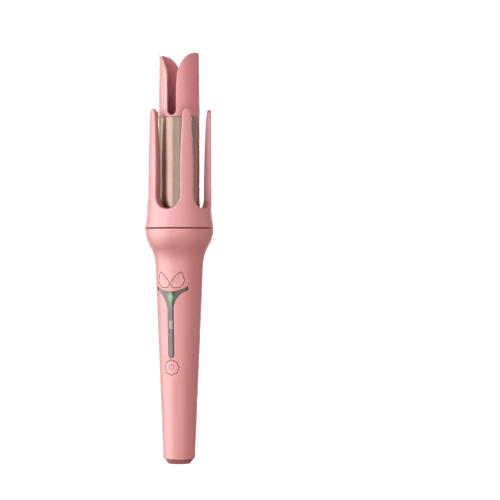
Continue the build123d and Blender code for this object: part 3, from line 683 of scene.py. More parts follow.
def casingBorder():
    h = handle
    half = math.pi / 2 * h["unrollR"] - h["partingGap"]
    rim = [(-half, h["footZ"]), (half, h["footZ"]), (half, h["rimZ"]), (-half, h["rimZ"])]
    points, lips = [], []
    for k, lip in enumerate((h["footLip"], h["partingLip"], h["rimLip"], h["partingLip"])):
        run = spread([rim[k], rim[(k + 1) % 4]], h["grid"][k % 2], closed=False)[:-1]
        points += run
        lips += [lip] * len(run)
    return {"points": points, "lips": lips, "innerLips": [0.0] * len(points)}


keys = {"gap": 0.36, "lip": 0.2, "flangeGrow": 0.65, "flangeFrom": 2.35, "back": 2.95, "switchX": 4.6,
        "switchZ": 139.0, "postR": 1.1, "postTip": 11.95, "veinWidth": 0.42, "veinDeep": 0.13}


def makeFrontCasing():
    h = handle
    holes = [holeIn(windowOutline(), h["windowLip"], h["ledge"], h["ledgeDeep"])]
    holes.append(holeIn(flowerOutline(keys["gap"]), h["keyLip"]))
    holes += [holeIn(roundGrown(leafOutline(sign), keys["gap"]), h["keyLip"]) for sign in (1, -1)]
    bm = bmesh.new()
    thickSkin(bm, [casingBorder(), *holes], onHandle, insideHandle, h["grid"])
    return finishMesh(bm, "casingFront", handleRose, "handle", ["front_shell"])


def makeRearCasing():
    wells = [(9.3, 88.0), (-9.3, 88.0), (11.3, 124.0), (-11.3, 124.0)]
    well = {"headR": 2.3, "shankR": 1.25, "bossR": 3.2, "seat": 6.0, "end": 0.3, "lip": 0.25, "steps": 40}
    bm = bmesh.new()
    thickSkin(bm, [casingBorder(), *(screwWell(x, z, well) for x, z in wells)], onHandle, insideHandle,
              handle["grid"], Matrix.Rotation(math.pi, 4, "Z"))
    return finishMesh(bm, "casingRear", handleRose, "handle", ["rear_shell"])


frontCasing = makeFrontCasing()
rearCasing = makeRearCasing()
print("stage: casing made,", len(frontCasing.data.polygons) + len(rearCasing.data.polygons), "faces")


# window and keys, each an island in its hole

window = {"inset": 0.05, "sunk": 0.1, "depth": 1.2, "lip": 0.16, "grid": (0.7, 0.9)}


def makeWindow():
    w = window
    outline = offsetLoop(windowOutline(), [w["inset"]] * len(windowOutline()))
    loop = {"points": unroll(outline), "innerPoints": unroll(outline, w["depth"]),
            "lips": [w["lip"]] * len(outline), "innerLips": [0.0] * len(outline)}
    bm = bmesh.new()
    thickSkin(bm, [loop], lambda u, v, d: onHandle(u, v, d + w["sunk"]),
              lambda u, v, d: onHandle(u, v, w["depth"] - d), w["grid"])
    return finishMesh(bm, "windowPane", smokedGloss, "handle", ["display_window"])


def segmentDistance(x, z, a, b):
    p, d = Vector((x - a[0], z - a[1])), Vector((b[0] - a[0], b[1] - a[1]))
    t = min(1, max(0, p.dot(d) / d.length_squared))
    return (p - d * t).length, t


veins = {  # in the front view of the right leaf; each side pair is its place, left length and right length
    "heel": (2.9, 135.4), "tip": (7.7, 143.4), "slant": (0.75, 0.66),
    "pairs": [(0.16, 1.5, 2.0), (0.34, 1.9, 2.5), (0.52, 1.7, 2.2), (0.69, 1.1, 1.4)],
}


def leafVeins(sign):  # a midrib and its side veins, as straight strokes
    heel, tip = Vector(veins["heel"]), Vector(veins["tip"])
    along = (tip - heel).normalized()
    across = Vector((-along.y, along.x)) * veins["slant"][1]
    rise = along * veins["slant"][0]
    strokes = [(heel, tip)]
    for place, left, right in veins["pairs"]:
        root = heel.lerp(tip, place)
        strokes.append((root, root + (rise + across) * left))
        strokes.append((root, root + (rise - across) * right))
    return [((sign * a.x, a.y), (sign * b.x, b.y)) for a, b in strokes]


def keyPost(bm, x, z, top, turns=24):  # round post from the key's back towards its switch
    rows = []
    for r, y in ((keys["postR"], top), (keys["postR"], -keys["postTip"] - 0.15),
                 (keys["postR"] - 0.15, -keys["postTip"]), (0, -keys["postTip"])):
        if r == 0:
            rows.append([bm.verts.new((x * mm, y * mm, z * mm))] * turns)
            continue
        rows.append([bm.verts.new(((x + px) * mm, y * mm, (z + pz) * mm))
                     for px, pz in arcPoints((0, 0), r, 0, 360, turns)[:-1]])
    for a, b in zip(rows, rows[1:]):
        for k in range(turns):
            j = (k + 1) % turns
            corners = [a[j], a[k], b[k]] if b[j] is b[k] else [a[j], a[k], b[k], b[j]]
            bm.faces.new(corners)


def makeKey(name, outline, body, replaced, postX, postZ, carve, engraved=(), grid=(0.55, 0.55), flange=None):
    back = keys["back"]
    flange = flange or roundGrown(outline, keys["flangeGrow"])
    step = keys["flangeFrom"]
    via = {k: [frontPoint(*a, step), frontPoint(*b, step)] for k, (a, b) in enumerate(zip(outline, flange))}
    loop = {"points": unroll(outline), "innerPoints": unroll(flange, back), "via": via,
            "lips": [keys["lip"]] * len(outline), "innerLips": [0.0] * len(outline)}
    bm = bmesh.new()
    thickSkin(bm, [loop], lambda u, v, d: onHandle(u, v, d + carve(u, v)),
              lambda u, v, d: onHandle(u, v, back - d), grid, engraved=engraved, innerSpacing=(0.8, 0.8))
    keyPost(bm, postX, postZ, frontPoint(postX, postZ, back - 0.1)[1])
    return finishMesh(bm, name, keyRose, body, [replaced])


def makeLeafKey(sign, name, body, replaced):
    strokes = leafVeins(sign)

    def carve(u, v):
        x = handleRadius(v) * math.sin(u / handle["unrollR"])
        deep = 0.0
        for k, (a, b) in enumerate(strokes):
            away, t = segmentDistance(x, v, a, b)
            width = keys["veinWidth"] * (1.0 - 0.45 * t) * (1.0 if k == 0 else 0.8)
            if away < width:
                deep = max(deep, keys["veinDeep"] * (0.5 + 0.5 * math.cos(math.pi * away / width)))
        return deep

    return makeKey(name, leafOutline(sign), body, replaced, sign * keys["switchX"], keys["switchZ"], carve,
                   grid=(0.14, 0.14))


mark = {"ringR": 2.0, "stroke": 0.44, "openHalf": 0.8, "bar": 2.2, "lip": 0.05, "deep": 0.3}
tongue = {"half": 2.5, "tall": 6.7}


def markOutlines():  # generic stand-by mark: a broken ring and a bar, as holes
    z, ringR, stroke = flowerShape["z"], mark["ringR"], mark["stroke"]
    half, bar = mark["openHalf"], mark["bar"]
    openAt = math.degrees(math.asin(half / ringR))
    inAt = math.degrees(math.asin(half / (ringR - stroke)))
    outer = arcPoints((0, z), ringR, 90 + openAt, 450 - openAt, 40)
    inner = arcPoints((0, z), ringR - stroke, 450 - inAt, 90 + inAt, 36)
    broken = outer + inner
    middle = z + ringR
    stem = arcPoints((0, middle + bar / 2 - stroke / 2), stroke / 2, 0, 180, 6)
    stem += arcPoints((0, middle - bar / 2 + stroke / 2), stroke / 2, 180, 360, 6)
    out = []
    for shape in (broken, spread(stem, 0.3)):
        flat = unroll(shape)
        out.append({"points": flat if signedArea(flat) < 0 else flat[::-1],
                    "lips": [mark["lip"]] * len(flat), "deep": mark["deep"]})
    return out


def tongueOutline(count):  # upright tongue behind the power key, with as many points as its outline
    out = []
    for k in range(count):
        a = 2 * math.pi * k / count + math.pi / 2
        c, s = math.cos(a), math.sin(a)
        r = min(tongue["half"] / max(abs(c), 1e-6), tongue["tall"] / max(abs(s), 1e-6))
        out.append((r * c, flowerShape["z"] + r * s))
    return out


def makePowerKey():
    outline = flowerOutline()
    return makeKey("powerKey", outline, "power_key", "power_button", 0, flowerShape["z"], lambda u, v: 0.0,
                   markOutlines(), (0.45, 0.45), tongueOutline(len(outline)))


displayGlow = {  # height, half width, half height and falloff of each lit patch
    "fork": (126.6, 3.6, 4.4, 1.2), "stem": (122.0, 3.0, 7.5, 2.0), "stemShare": 0.4, "strength": 0.75,
}


def makeSmokedGloss():  # tinted gloss pane with the display's green glow behind it
    material, tree, shader = newMaterial("smokedGloss")
    coords = objectPlace(tree)
    split = tree.nodes.new("ShaderNodeSeparateXYZ")
    link(tree, coords, split.inputs[0])
    x, z = split.outputs["X"], split.outputs["Z"]

    def squareOf(value, size):
        ratio = mathNode(tree, "ABSOLUTE", mathNode(tree, "DIVIDE", value, size * mm))
        return mathNode(tree, "POWER", ratio, 2)

    def blob(height, wide, tall, power):
        rise = mathNode(tree, "SUBTRACT", z, height * mm)
        away = mathNode(tree, "ADD", squareOf(x, wide), squareOf(rise, tall))
        return mathNode(tree, "POWER", mathNode(tree, "SUBTRACT", 1.0, away, clamp=True), power)

    tail = mathNode(tree, "MULTIPLY", blob(*displayGlow["stem"]), displayGlow["stemShare"])
    glow = mathNode(tree, "ADD", blob(*displayGlow["fork"]), tail, clamp=True)
    uneven = remap(tree, noiseNode(tree, coords, 500.0, 2.0), 0.3, 0.7, 0.82, 1.08)
    glow = mathNode(tree, "MULTIPLY", glow, uneven)
    link(tree, mixColour(tree, glow, (0, 0, 0, 1), linear(118, 176, 118)), shader.inputs["Emission Color"])
    shader.inputs["Emission Strength"].default_value = displayGlow["strength"]
    speck = remap(tree, noiseNode(tree, coords, 900.0, 5.0, 0.7), 0.66, 0.78, 0.0, 0.25)
    base = mixColour(tree, speck, linear(88, 62, 68), linear(140, 112, 114))
    link(tree, mixColour(tree, glow, base, linear(60, 84, 62)), shader.inputs["Base Color"])
    smear = remap(tree, noiseNode(tree, coords, 90.0, 4.0), 0.35, 0.7, 0.05, 0.14)
    link(tree, smear, shader.inputs["Roughness"])
    setSockets(shader, IOR=1.6, Specular_IOR_Level=0.5, Coat_Weight=0.5, Coat_Roughness=0.03)
    addBump(tree, shader, noiseNode(tree, coords, 120.0, 2.0), 0.03, 0.0001)
    return material


smokedGloss = makeSmokedGloss()
windowPane = makeWindow()
makeLeafKey(-1, "leftLeafKey", "left_key", "left_leaf_button")
makeLeafKey(1, "rightLeafKey", "right_key", "right_leaf_button")
makePowerKey()
print("stage: window and keys made")


# temperature figures, seven-segment strokes that read up the stem

digits = {"text": "200", "from": 102.8, "wide": 1.5, "tall": 2.3, "gap": 0.55, "stroke": 0.24, "trim": 0.62,
          "proud": 0.03, "sunk": 0.1}
segmentsOf = {"0": "abcdef", "1": "bc", "2": "abged", "3": "abgcd", "4": "fgbc",
              "5": "afgcd", "6": "afgedc", "7": "abc", "8": "abcdefg", "9": "abcdfg"}


def makeFigures():
    d = digits
    w, t, s = d["wide"], d["tall"], d["stroke"]
    places = {"a": ((0, t), (w, t)), "b": ((w, t), (w, t / 2)), "c": ((w, t / 2), (w, 0)),
              "d": ((w, 0), (0, 0)), "e": ((0, 0), (0, t / 2)), "f": ((0, t / 2), (0, t)),
              "g": ((0, t / 2), (w, t / 2))}
    bm = bmesh.new()
    for n, figure in enumerate(d["text"]):
        for letter in segmentsOf[figure]:
            a, b = (Vector(p) for p in places[letter])
            along = (b - a).normalized()
            across = Vector((-along.y, along.x)) * s / 2
            a, b = a + along * s * d["trim"], b - along * s * d["trim"]
            ring = [a - along * s / 2, a - across, b - across, b + along * s / 2, b + across, a + across]
            start = d["from"] + n * (w + d["gap"])
            outline = [(t / 2 - p.y, start + p.x) for p in ring]  # turned to read upward
            if signedArea(outline) < 0:
                outline = outline[::-1]
            flat = unroll(outline, window["sunk"])
            top = [bm.verts.new(Vector(onHandle(u, v, window["sunk"] - d["proud"])) * mm) for u, v in flat]
            low = [bm.verts.new(Vector(onHandle(u, v, window["sunk"] + d["sunk"])) * mm) for u, v in flat]
            bm.faces.new(top)
            bm.faces.new(low[::-1])
            for k in range(len(flat)):
                j = (k + 1) % len(flat)
                bm.faces.new([top[j], top[k], low[k], low[j]])
    return finishMesh(bm, "displayFigures", figureWhite, "handle", [])


def makeFigureWhite():
    material, tree, shader = newMaterial("figureWhite")
    coords = objectPlace(tree)
    bright = remap(tree, noiseNode(tree, coords, 700.0, 2.0), 0.3, 0.7, 0.75, 1.0)
    dull = linear(150, 140, 140)
    lit = mixColour(tree, bright, dull, linear(240, 236, 236))
    link(tree, lit, shader.inputs["Emission Color"])
    shader.inputs["Emission Strength"].default_value = 0.4
    link(tree, mixColour(tree, bright, dull, linear(225, 220, 220)), shader.inputs["Base Color"])
    shader.inputs["Roughness"].default_value = 0.3
    return material


figureWhite = makeFigureWhite()
makeFigures()


# turning sleeve with its five claws, built as five equal segments

sleeve = {
    "skirt": [(26.85, 178.55), (26.5, 181.5), (25.82, 185.4), (25.3, 190.0)], "tipR": 24.45, "tipZ": 267.9,
    "bore": [(19.3, 184.8), (19.3, 185.8), (19.65, 229.0), (20.1, 244.0), (20.8, 260.0), (21.5, 267.9)],
    "claws": 5, "slotFloorZ": 192.8, "slotR": 10.4,
    "straightTo": 229.0, "shoulders": [(4.7, 244.0), (4.15, 254.0), (3.75, 261.0), (3.5, 264.0)],
    "roundFrom": 256.5, "crownPower": 0.72, "outerLip": 1.1, "innerLip": 0.6, "footLip": 0.5,
    "web": [(24.0, 178.55), (24.0, 181.2), (15.52, 181.2), (15.52, 188.6), (18.0, 188.6), (18.0, 184.8)],
    "unrollR": 25.0, "grid": (1.05, 1.5),
}
skirtRadius = profileRadius([*sleeve["skirt"], (25.2, 199.0), (sleeve["tipR"], sleeve["tipZ"])])
boreRadius = profileRadius(sleeve["bore"])


def onSleeve(u, z, depth):
    r, a = skirtRadius(z) - depth, u / sleeve["unrollR"]
    return (r * math.sin(a), -r * math.cos(a), z)


def insideSleeve(u, z, depth):
    r, a = boreRadius(z) + depth, u / sleeve["unrollR"]
    return (r * math.sin(a), -r * math.cos(a), z)


def clawEdge():  # right-hand edge of one claw, from the bottom of the gap up to its tip
    s = sleeve
    half = math.pi / s["claws"] * s["unrollR"]
    arc = arcPoints((half, s["slotFloorZ"] + s["slotR"]), s["slotR"], 270, 180, 16)
    narrow = half - s["slotR"]
    width = profileRadius([(narrow, arc[-1][1]), (narrow, s["straightTo"]), *s["shoulders"]])
    side = [(width(z), z) for z in np.linspace(arc[-1][1], s["roundFrom"], 32)[1:]]
    crown = s["tipZ"] - s["roundFrom"]
    flank = width(s["roundFrom"])
    top = [(flank * math.cos(a) ** s["crownPower"], s["roundFrom"] + crown * math.sin(a))
           for a in np.linspace(0, math.pi / 2, 16)[1:-1]]
    return arc + side + top + [(0.0, s["tipZ"])]


def clawSegment():
    s = sleeve
    half = math.pi / s["claws"] * s["unrollR"]
    foot, boreFoot = s["skirt"][0][1], s["bore"][0][1]
    bottom = spread([(-half, foot), (half, foot)], 1.05, closed=False)
    seam = spread([(half, foot), (half, s["slotFloorZ"])], 1.5, closed=False)
    edge = clawEdge()
    right = seam[:-1] + edge
    left = [(-u, z) for u, z in right[::-1]]
    points = bottom[:-1] + right[:-1] + left[:-1]
    lips, innerLips, walls = [], [], []
    seamRun = len(seam) - 1
    for k in range(len(points)):
        isBottom = k < len(bottom) - 1
        afterBottom = k - (len(bottom) - 1)
        isSeam = 0 <= afterBottom < seamRun or k >= len(points) - seamRun
        lips.append(s["footLip"] if isBottom else 0.0 if isSeam else s["outerLip"])
        innerLips.append(0.0 if isBottom or isSeam else s["innerLip"])
        walls.append(not isSeam)
    for k, (u, z) in enumerate(points):  # the crown is narrow, so its roll is smaller
        if lips[k] == s["outerLip"] and z > s["roundFrom"]:
            lips[k] = s["outerLip"] * (1 - 0.25 * (z - s["roundFrom"]) / (s["tipZ"] - s["roundFrom"]))
    squeeze = (s["slotFloorZ"] - boreFoot) / (s["slotFloorZ"] - foot)
    inner = [(u, z if z >= s["slotFloorZ"] else boreFoot + (z - foot) * squeeze) for u, z in points]
    via = {}
    for k in range(len(bottom)):
        a = points[k][0] / s["unrollR"]
        via[k] = [(r * math.sin(a), -r * math.cos(a), z) for r, z in s["web"]]
    return {"points": points, "innerPoints": inner, "lips": lips, "innerLips": innerLips, "via": via,
            "walls": walls}


def makeSleeve():
    s = sleeve
    bm = bmesh.new()
    for n in range(s["claws"]):
        angle = math.pi / s["claws"] * (2 * n + 1)
        thickSkin(bm, [clawSegment()], onSleeve, insideSleeve, s["grid"], Matrix.Rotation(angle, 4, "Z"))
    return finishMesh(bm, "clawSleeve", sleeveRose, "claws", ["claw_sleeve"])


clawSleeve = makeSleeve()
print("stage: claw sleeve made,", len(clawSleeve.data.polygons), "faces")


# forked tip cap, two equal halves on one spigot

tip = {
    "outside": [(15.95, 262.05), (15.85, 276.0), (15.6, 291.0), (15.4, 311.3)], "wall": 2.0,
    "floorZ": 263.0, "slotHalf": 3.5, "slotZ": 263.3,
    "flare": [(3.5, 276.0), (3.8, 288.0), (4.8, 297.0), (8.2, 304.7), (12.0, 309.1)],
    "rollFrom": 264.0, "rollOver": 5.0, "rootLip": 0.12,
    "apexZ": 311.05, "outerLip": 0.5, "innerLip": 0.4, "footLip": 0.3, "unrollR": 15.5, "grid": (0.9, 1.2),
    "under": [(15.05, 262.05), (15.05, 256.5), (1.6, 256.5), (1.6, 260.2), (3.2, 260.2), (3.2, 263.0)],
}
tipRadius = profileRadius(tip["outside"])


def onTip(u, z, depth):  # measured round from +X
    r, a = tipRadius(z) - depth, u / tip["unrollR"]
    return (r * math.cos(a), r * math.sin(a), z)


def insideTip(u, z, depth):
    return onTip(u, z, tip["wall"] - depth)


def slotEdge():  # (x, z) from the bottom of the slot up over the flare to the apex
    t = tip
    centre = t["slotZ"] + t["slotHalf"]
    low = [(t["slotHalf"] * math.sin(a), centre - t["slotHalf"] * math.cos(a))
           for a in np.linspace(0, math.pi / 2, 12)]
    straight = [(t["slotHalf"], z) for z in np.linspace(centre, t["flare"][0][1], 8)[1:-1]]
    flare = smoothCurve([*t["flare"], (tipRadius(t["apexZ"]), t["apexZ"])], 8)
    return low + straight + flare


def tipHalf():
    t = tip
    foot = t["outside"][0][1]
    edge = slotEdge()
    innerShare = 1 - t["wall"] / tipRadius(300)
    flareX = [x for x, z in edge if z >= t["flare"][0][1]]
    flareZ = [z for x, z in edge if z >= t["flare"][0][1]]
    outer, inner = [], []
    for x, z in edge:
        big, small = tipRadius(z), tipRadius(z) - t["wall"]
        xIn = x * (1 - (1 - innerShare) * (x / big) ** 3)
        zIn = min(z, float(np.interp(xIn, flareX, flareZ))) if z > t["flare"][0][1] else z
        outer.append((t["unrollR"] * math.acos(min(1, x / big)), z))
        inner.append((t["unrollR"] * math.acos(min(1, xIn / small)), zIn))
    half = math.pi / 2 * t["unrollR"]
    seam = [(half, foot), (half, foot + 0.52 * (t["slotZ"] - foot))]
    innerSeam = [(half, t["floorZ"]), (half, t["floorZ"] + 0.3 * (t["slotZ"] - t["floorZ"]))]
    bottom = spread([(-half, foot), (half, foot)], 0.9, closed=False)
    innerBottom = [(u, t["floorZ"]) for u, _ in bottom]
    points = (bottom[:-1] + seam + outer[:-1] + [(-u, z) for u, z in outer[::-1]][:-1]
              + [(-half, outer[0][1]), (-half, seam[1][1])])
    innerPoints = (innerBottom[:-1] + innerSeam + inner[:-1] + [(-u, z) for u, z in inner[::-1]][:-1]
                   + [(-half, inner[0][1]), (-half, innerSeam[1][1])])
    lips, innerLips, walls = [], [], []
    count = len(points)
    seamFrom = len(bottom) - 1
    for k, (u, z) in enumerate(points):
        isBottom = k < seamFrom
        isSeam = seamFrom <= k < seamFrom + 2 or k >= count - 2
        height = max(0.0, min(1.0, (z - t["rollFrom"]) / t["rollOver"]))
        innerLip = t["rootLip"] + (t["innerLip"] - t["rootLip"]) * height
        lips.append(t["footLip"] if isBottom else 0.0 if isSeam else t["outerLip"])
        innerLips.append(0.0 if isBottom or isSeam else innerLip)
        walls.append(not isSeam)
    via = {}
    for k in range(len(bottom)):
        a = points[k][0] / t["unrollR"]
        via[k] = [(r * math.cos(a), r * math.sin(a), z) for r, z in t["under"]]
    return {"points": points, "innerPoints": innerPoints, "lips": lips, "innerLips": innerLips, "via": via,
            "walls": walls}


def makeTip():
    bm = bmesh.new()
    for angle in (0, math.pi):
        thickSkin(bm, [tipHalf()], onTip, insideTip, tip["grid"], Matrix.Rotation(angle, 4, "Z"))
    return finishMesh(bm, "tipFork", tipRose, "handle", ["tip_cap"])


tipFork = makeTip()
print("stage: tip made,", len(tipFork.data.polygons), "faces")


# barrel and base cap

barrel = {"outerR": 16.0, "boreR": 15.1, "low": 191.8, "high": 261.9, "round": 0.3}


def makeBarrel():
    b = barrel
    bore, outer, low, high = b["boreR"], b["outerR"], b["low"], b["high"]
    middle = (bore, (low + high) / 2, 0)
    corners = ((bore, low), (outer, low), (outer, high), (bore, high))
    profile = roundedProfile([middle, *((r, z, b["round"]) for r, z in corners), middle], 6)
    bm = bmesh.new()
    lathe(bm, profile, 192)
    return finishMesh(bm, "barrelSkin", barrelMetal, "handle", ["barrel_tube"])


baseCap = {
    "floorR": 8.9, "floorZ": 2.2, "slotWide": 9.3, "slotHigh": 3.5, "slotLip": 0.22, "grid": (1.0, 1.0),
    "sides": [(9.35, 0.0, 0.35), (11.2, 3.0, 0.25), (10.05, 3.0, 0.0), (10.05, 10.0, 0.3),
              (8.6, 10.0, 0.3), (8.6, 2.2, 0.0)],
}


def makeBaseCap():
    b = baseCap
    turns = 96
    end = b["slotHigh"] / 2
    reach = b["slotWide"] / 2 - end
    slot = arcPoints((reach, 0), end, 90, -90, 14) + arcPoints((-reach, 0), end, -90, -270, 14)
    rim = arcPoints((0, 0), b["floorR"], 0, 360, turns)[:-1]
    innerRim = arcPoints((0, 0), b["sides"][-1][0] - 0.001, 0, 360, turns)[:-1]
    sides = roundedProfile([(b["floorR"], 0.0, 0), *b["sides"]], 5)[1:-1]
    via = {k: [(r * math.cos(a), -r * math.sin(a), z) for r, z in sides]
           for k, a in enumerate(2 * math.pi * k / turns for k in range(turns))}
    slotPoints = spread(slot, 0.5)
    loops = [{"points": rim, "innerPoints": innerRim, "lips": [0.0] * turns, "innerLips": [0.0] * turns,
              "walls": [True] * turns, "via": via},
             {"points": slotPoints, "lips": [b["slotLip"]] * len(slotPoints)}]
    bm = bmesh.new()
    thickSkin(bm, loops, lambda u, v, d: (u, -v, d), lambda u, v, d: (u, -v, b["floorZ"] - d), b["grid"])
    return finishMesh(bm, "baseCapShell", baseRose, "handle", ["base_cap"])


barrelSkin = makeBarrel()
makeBaseCap()
print("stage: barrel and base cap made")


# the pieces inside keep their meshes and get their real finishes

def mottled(name, colour, second, size=900.0, roughness=0.5, metallic=0.0, bump=0.15, gloss=0.5):
    material, tree, shader = newMaterial(name)
    coords = objectPlace(tree)
    patches = remap(tree, noiseNode(tree, coords, size / 12, 3.0), 0.35, 0.65, 0.0, 0.7)
    fine = noiseNode(tree, coords, size, 4.0, 0.65)
    worn = placeGroup(tree, edgeWear, Color=mixColour(tree, patches, colour, second), Amount=0.35,
                      Worn=tuple(min(1, c * 1.25 + 0.02) for c in colour[:3]) + (1,),
                      Roughness=remap(tree, fine, 0.2, 0.8, roughness - 0.08, roughness + 0.08),
                      Worn_Roughness=roughness * 0.75)
    dusty = placeGroup(tree, fineDust, Color=worn.outputs["Color"], Amount=0.08)
    link(tree, dusty.outputs["Color"], shader.inputs["Base Color"])
    link(tree, worn.outputs["Roughness"], shader.inputs["Roughness"])
    setSockets(shader, Metallic=metallic, Specular_IOR_Level=gloss)
    addBump(tree, shader, fine, bump, 0.00003)
    return material


def makeFelt():  # dense felt: short crossed fibres and a soft sheen
    material, tree, shader = newMaterial("feltSeal")
    coords = objectPlace(tree)
    fibres = noiseNode(tree, coords, 3200.0, 8.0, 0.8)
    shade = remap(tree, fibres, 0.3, 0.7, 0, 1)
    colour = mixColour(tree, shade, (0.10, 0.018, 0.02, 1), (0.17, 0.04, 0.04, 1))
    link(tree, colour, shader.inputs["Base Color"])
    link(tree, remap(tree, fibres, 0.2, 0.8, 0.85, 1.0), shader.inputs["Roughness"])
    setSockets(shader, Sheen_Weight=0.3, Specular_IOR_Level=0.1)
    addBump(tree, shader, fibres, 0.5, 0.00008)
    return material


def makeBoard():  # solder-masked board: copper tracks show as paler lines
    material, tree, shader = newMaterial("circuitBoard")
    coords = objectPlace(tree)
    cells = tree.nodes.new("ShaderNodeTexVoronoi")
    cells.feature, cells.distance = "DISTANCE_TO_EDGE", "MANHATTAN"
    cells.inputs["Scale"].default_value = 420.0
    link(tree, coords, cells.inputs["Vector"])
    track = remap(tree, cells.outputs["Distance"], 0.03, 0.06, 1.0, 0.0)
    mask = mixColour(tree, track, (0.012, 0.075, 0.03, 1), (0.035, 0.19, 0.07, 1))
    link(tree, mask, shader.inputs["Base Color"])
    uneven = remap(tree, noiseNode(tree, coords, 300.0, 3.0), 0.3, 0.7, 0.25, 0.4)
    link(tree, uneven, shader.inputs["Roughness"])
    addBump(tree, shader, track, 0.3, 0.00004)
    return material


innerFinishes = {
    "rose_casing": handleRose, "rose_sleeve": sleeveRose, "rose_cap": tipRose, "dark_rose": baseRose,
    "rose_key": keyRose, "smoked_window": smokedGloss, "champagne_barrel": barrelMetal,
    "milky_guide": mottled("milkyGuide", (0.72, 0.78, 0.72, 1), (0.6, 0.68, 0.62, 1), roughness=0.45),
    "raw_aluminium": brushedMetal("rawAluminium", (0.78, 0.78, 0.79, 1), roughness=0.38, anisotropy=0.3),
    "steel": brushedMetal("zincSteel", (0.60, 0.60, 0.58, 1), roughness=0.34, stretch=300.0, anisotropy=0.2),
    "brass_bush": brushedMetal("turnedBrass", (0.80, 0.60, 0.28, 1), roughness=0.30, stretch=200.0),
    "black_nylon": mottled("blackNylon", (0.022, 0.022, 0.024, 1), (0.032, 0.032, 0.034, 1), 1600.0, 0.55),
    "white_acetal": mottled("whiteAcetal", (0.80, 0.79, 0.74, 1), (0.74, 0.72, 0.66, 1), 500.0, 0.38,
                            bump=0.05),
    "green_board": makeBoard(),
    "black_chip": mottled("blackChip", (0.018, 0.018, 0.02, 1), (0.03, 0.03, 0.03, 1), 2400.0, 0.48),
    "cell_wrap": mottled("cellWrap", (0.03, 0.12, 0.30, 1), (0.025, 0.10, 0.26, 1), 260.0, 0.28, bump=0.04),
    "nickel": brushedMetal("nickelPlate", (0.70, 0.67, 0.60, 1), roughness=0.22, stretch=200.0,
                           anisotropy=0.2),
    "felt_seal": makeFelt(),
    "ceramic": mottled("whiteCeramic", (0.78, 0.76, 0.70, 1), (0.70, 0.67, 0.60, 1), 700.0, 0.6),
    "lead_sleeve": mottled("leadSleeve", (0.45, 0.05, 0.04, 1), (0.38, 0.04, 0.035, 1), 500.0, 0.42,
                           bump=0.06),
    "magnet": mottled("ferriteMagnet", (0.05, 0.05, 0.055, 1), (0.08, 0.075, 0.07, 1), 1200.0, 0.4, 0.6),
}


def finishInnerNodes():
    for name, node in nodes.items():
        for slot in node.material_slots:
            label = slot.material.name.split(".")[0] if slot.material else ""
            if label not in innerFinishes:
                raise RuntimeError(name + " has no finish for " + label)
            slot.material = innerFinishes[label]


finishInnerNodes()
print("stage: inner pieces finished")


# camera, light and stage

view = {"azimuth": 22.5, "distance": 1331.0, "height": 161.7, "aside": 2.312, "lens": 126.0}
cameraData = bpy.data.cameras.new("camera")
camera = bpy.data.objects.new("camera", cameraData)
bpy.context.scene.collection.objects.link(camera)
bpy.context.scene.camera = camera
turn = math.radians(view["azimuth"])
reach = view["distance"] * mm
camera.location = (reach * math.sin(turn), -reach * math.cos(turn), view["height"] * mm)
camera.rotation_euler = (math.pi / 2, 0, turn - math.radians(view["aside"]))
cameraData.lens, cameraData.sensor_width = view["lens"], 36.0
cameraData.clip_start, cameraData.clip_end = 0.05, 20

lights = {  # azimuth is measured from the camera's side; glow is the panel's brightness
    "leftWall": {"azimuth": -78, "elevation": 4, "distance": 1.3, "wide": 2.3, "tall": 1.8, "glow": 3.1},
    "frontWall": {"azimuth": 3, "elevation": 4, "distance": 1.3, "wide": 1.4, "tall": 1.8, "glow": 1.25},
    "leftRim": {"azimuth": -160, "elevation": 4, "distance": 1.3, "wide": 0.6, "tall": 1.8, "glow": 7.0},
    "rightRim": {"azimuth": 165, "elevation": 4, "distance": 1.3, "wide": 0.6, "tall": 1.8, "glow": 14.0},
    "softFront": {"azimuth": -20, "elevation": 15, "distance": 1.4, "wide": 0.9, "tall": 1.4, "glow": 2.9},
    "softRight": {"azimuth": 100, "elevation": 15, "distance": 1.4, "wide": 0.9, "tall": 1.4, "glow": 1.0},
}
lampAim = 0.16  # the height that every lamp points at
barrelShare = 0.27  # the gloss panels as the bright barrel sees them
ambient = {"seen": 1.0, "diffuse": 0.44, "gloss": 0.22}


def areaLight(name, azimuth, elevation, distance, wide, tall, glow):
    data = bpy.data.lights.new(name, "AREA")
    data.shape, data.size, data.size_y = "RECTANGLE", wide, tall
    data.energy = glow * math.pi * wide * tall
    lamp = bpy.data.objects.new(name, data)
    bpy.context.scene.collection.objects.link(lamp)
    lamp.visible_camera = False
    lamp.visible_diffuse = name.startswith("soft")  # the walls and rims show only as gloss
    lamp.visible_glossy = not name.startswith("soft")
    a, e = turn + math.radians(azimuth), math.radians(elevation)
    away = Vector((math.sin(a) * math.cos(e), -math.cos(a) * math.cos(e), math.sin(e)))
    lamp.location = Vector((0, 0, lampAim)) + away * distance
    lamp.rotation_euler = away.to_track_quat("Z", "Y").to_euler()
    return lamp


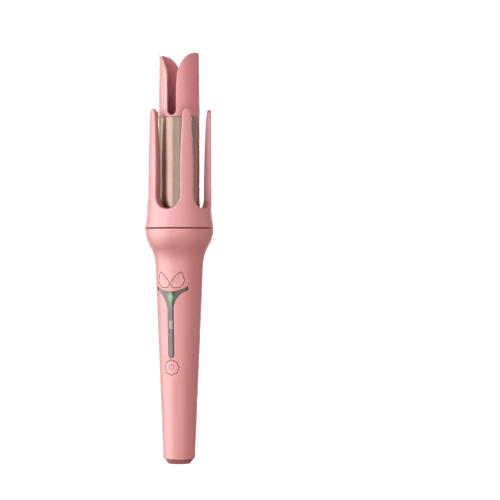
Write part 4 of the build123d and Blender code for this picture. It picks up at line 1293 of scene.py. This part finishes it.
def lightsOnly(lamp, pieces, state):  # includes or excludes some pieces from a lamp's light
    receivers = bpy.data.collections.new(lamp.name + "Receivers")
    lamp.light_linking.receiver_collection = receivers
    for piece in pieces:
        receivers.objects.link(piece)
    for entry in receivers.collection_objects:
        entry.light_linking.link_state = state


for name, setting in lights.items():
    lamp = areaLight(name, **setting)
    if not name.startswith("soft"):
        lightsOnly(lamp, [barrelSkin], "EXCLUDE")
        faint = areaLight(name + "OnBarrel", **{**setting, "glow": setting["glow"] * barrelShare})
        lightsOnly(faint, [barrelSkin], "INCLUDE")

world = bpy.data.worlds.new("studio")
world.use_nodes = True
bpy.context.scene.world = world
sky = world.node_tree
backdrop = sky.nodes["Background"]
backdrop.inputs["Color"].default_value = (1, 1, 1, 1)
path = sky.nodes.new("ShaderNodeLightPath")
lit = remap(sky, path.outputs["Is Glossy Ray"], 0, 1, ambient["diffuse"], ambient["gloss"])
link(sky, remap(sky, path.outputs["Is Camera Ray"], 0, 1, lit, ambient["seen"]), backdrop.inputs["Strength"])
bpy.context.scene.view_settings.view_transform = "Standard"

floorBoard = {"half": 3.0, "bare": (0.30, 0.30, 0.30, 1), "lift": 0.92}


def makeFloor():
    bm = bmesh.new()
    half = floorBoard["half"]
    bm.faces.new([bm.verts.new((x * half, y * half, 0)) for x, y in ((-1, -1), (1, -1), (1, 1), (-1, 1))])
    mesh = bpy.data.meshes.new("floor")
    bm.to_mesh(mesh)
    bm.free()
    board = bpy.data.objects.new("floor", mesh)
    bpy.context.scene.collection.objects.link(board)
    material, tree, shader = newMaterial("floorPaper")
    setSockets(shader, Base_Color=floorBoard["bare"], Roughness=0.9, Specular_IOR_Level=0.0)
    seen = tree.nodes.new("ShaderNodeLightPath").outputs["Is Camera Ray"]
    link(tree, mixColour(tree, seen, (0.2, 0.2, 0.2, 1), (1, 1, 1, 1)), shader.inputs["Emission Color"])
    shader.inputs["Emission Strength"].default_value = floorBoard["lift"]
    mesh.materials.append(material)
    board.visible_glossy = board.visible_shadow = False


makeFloor()
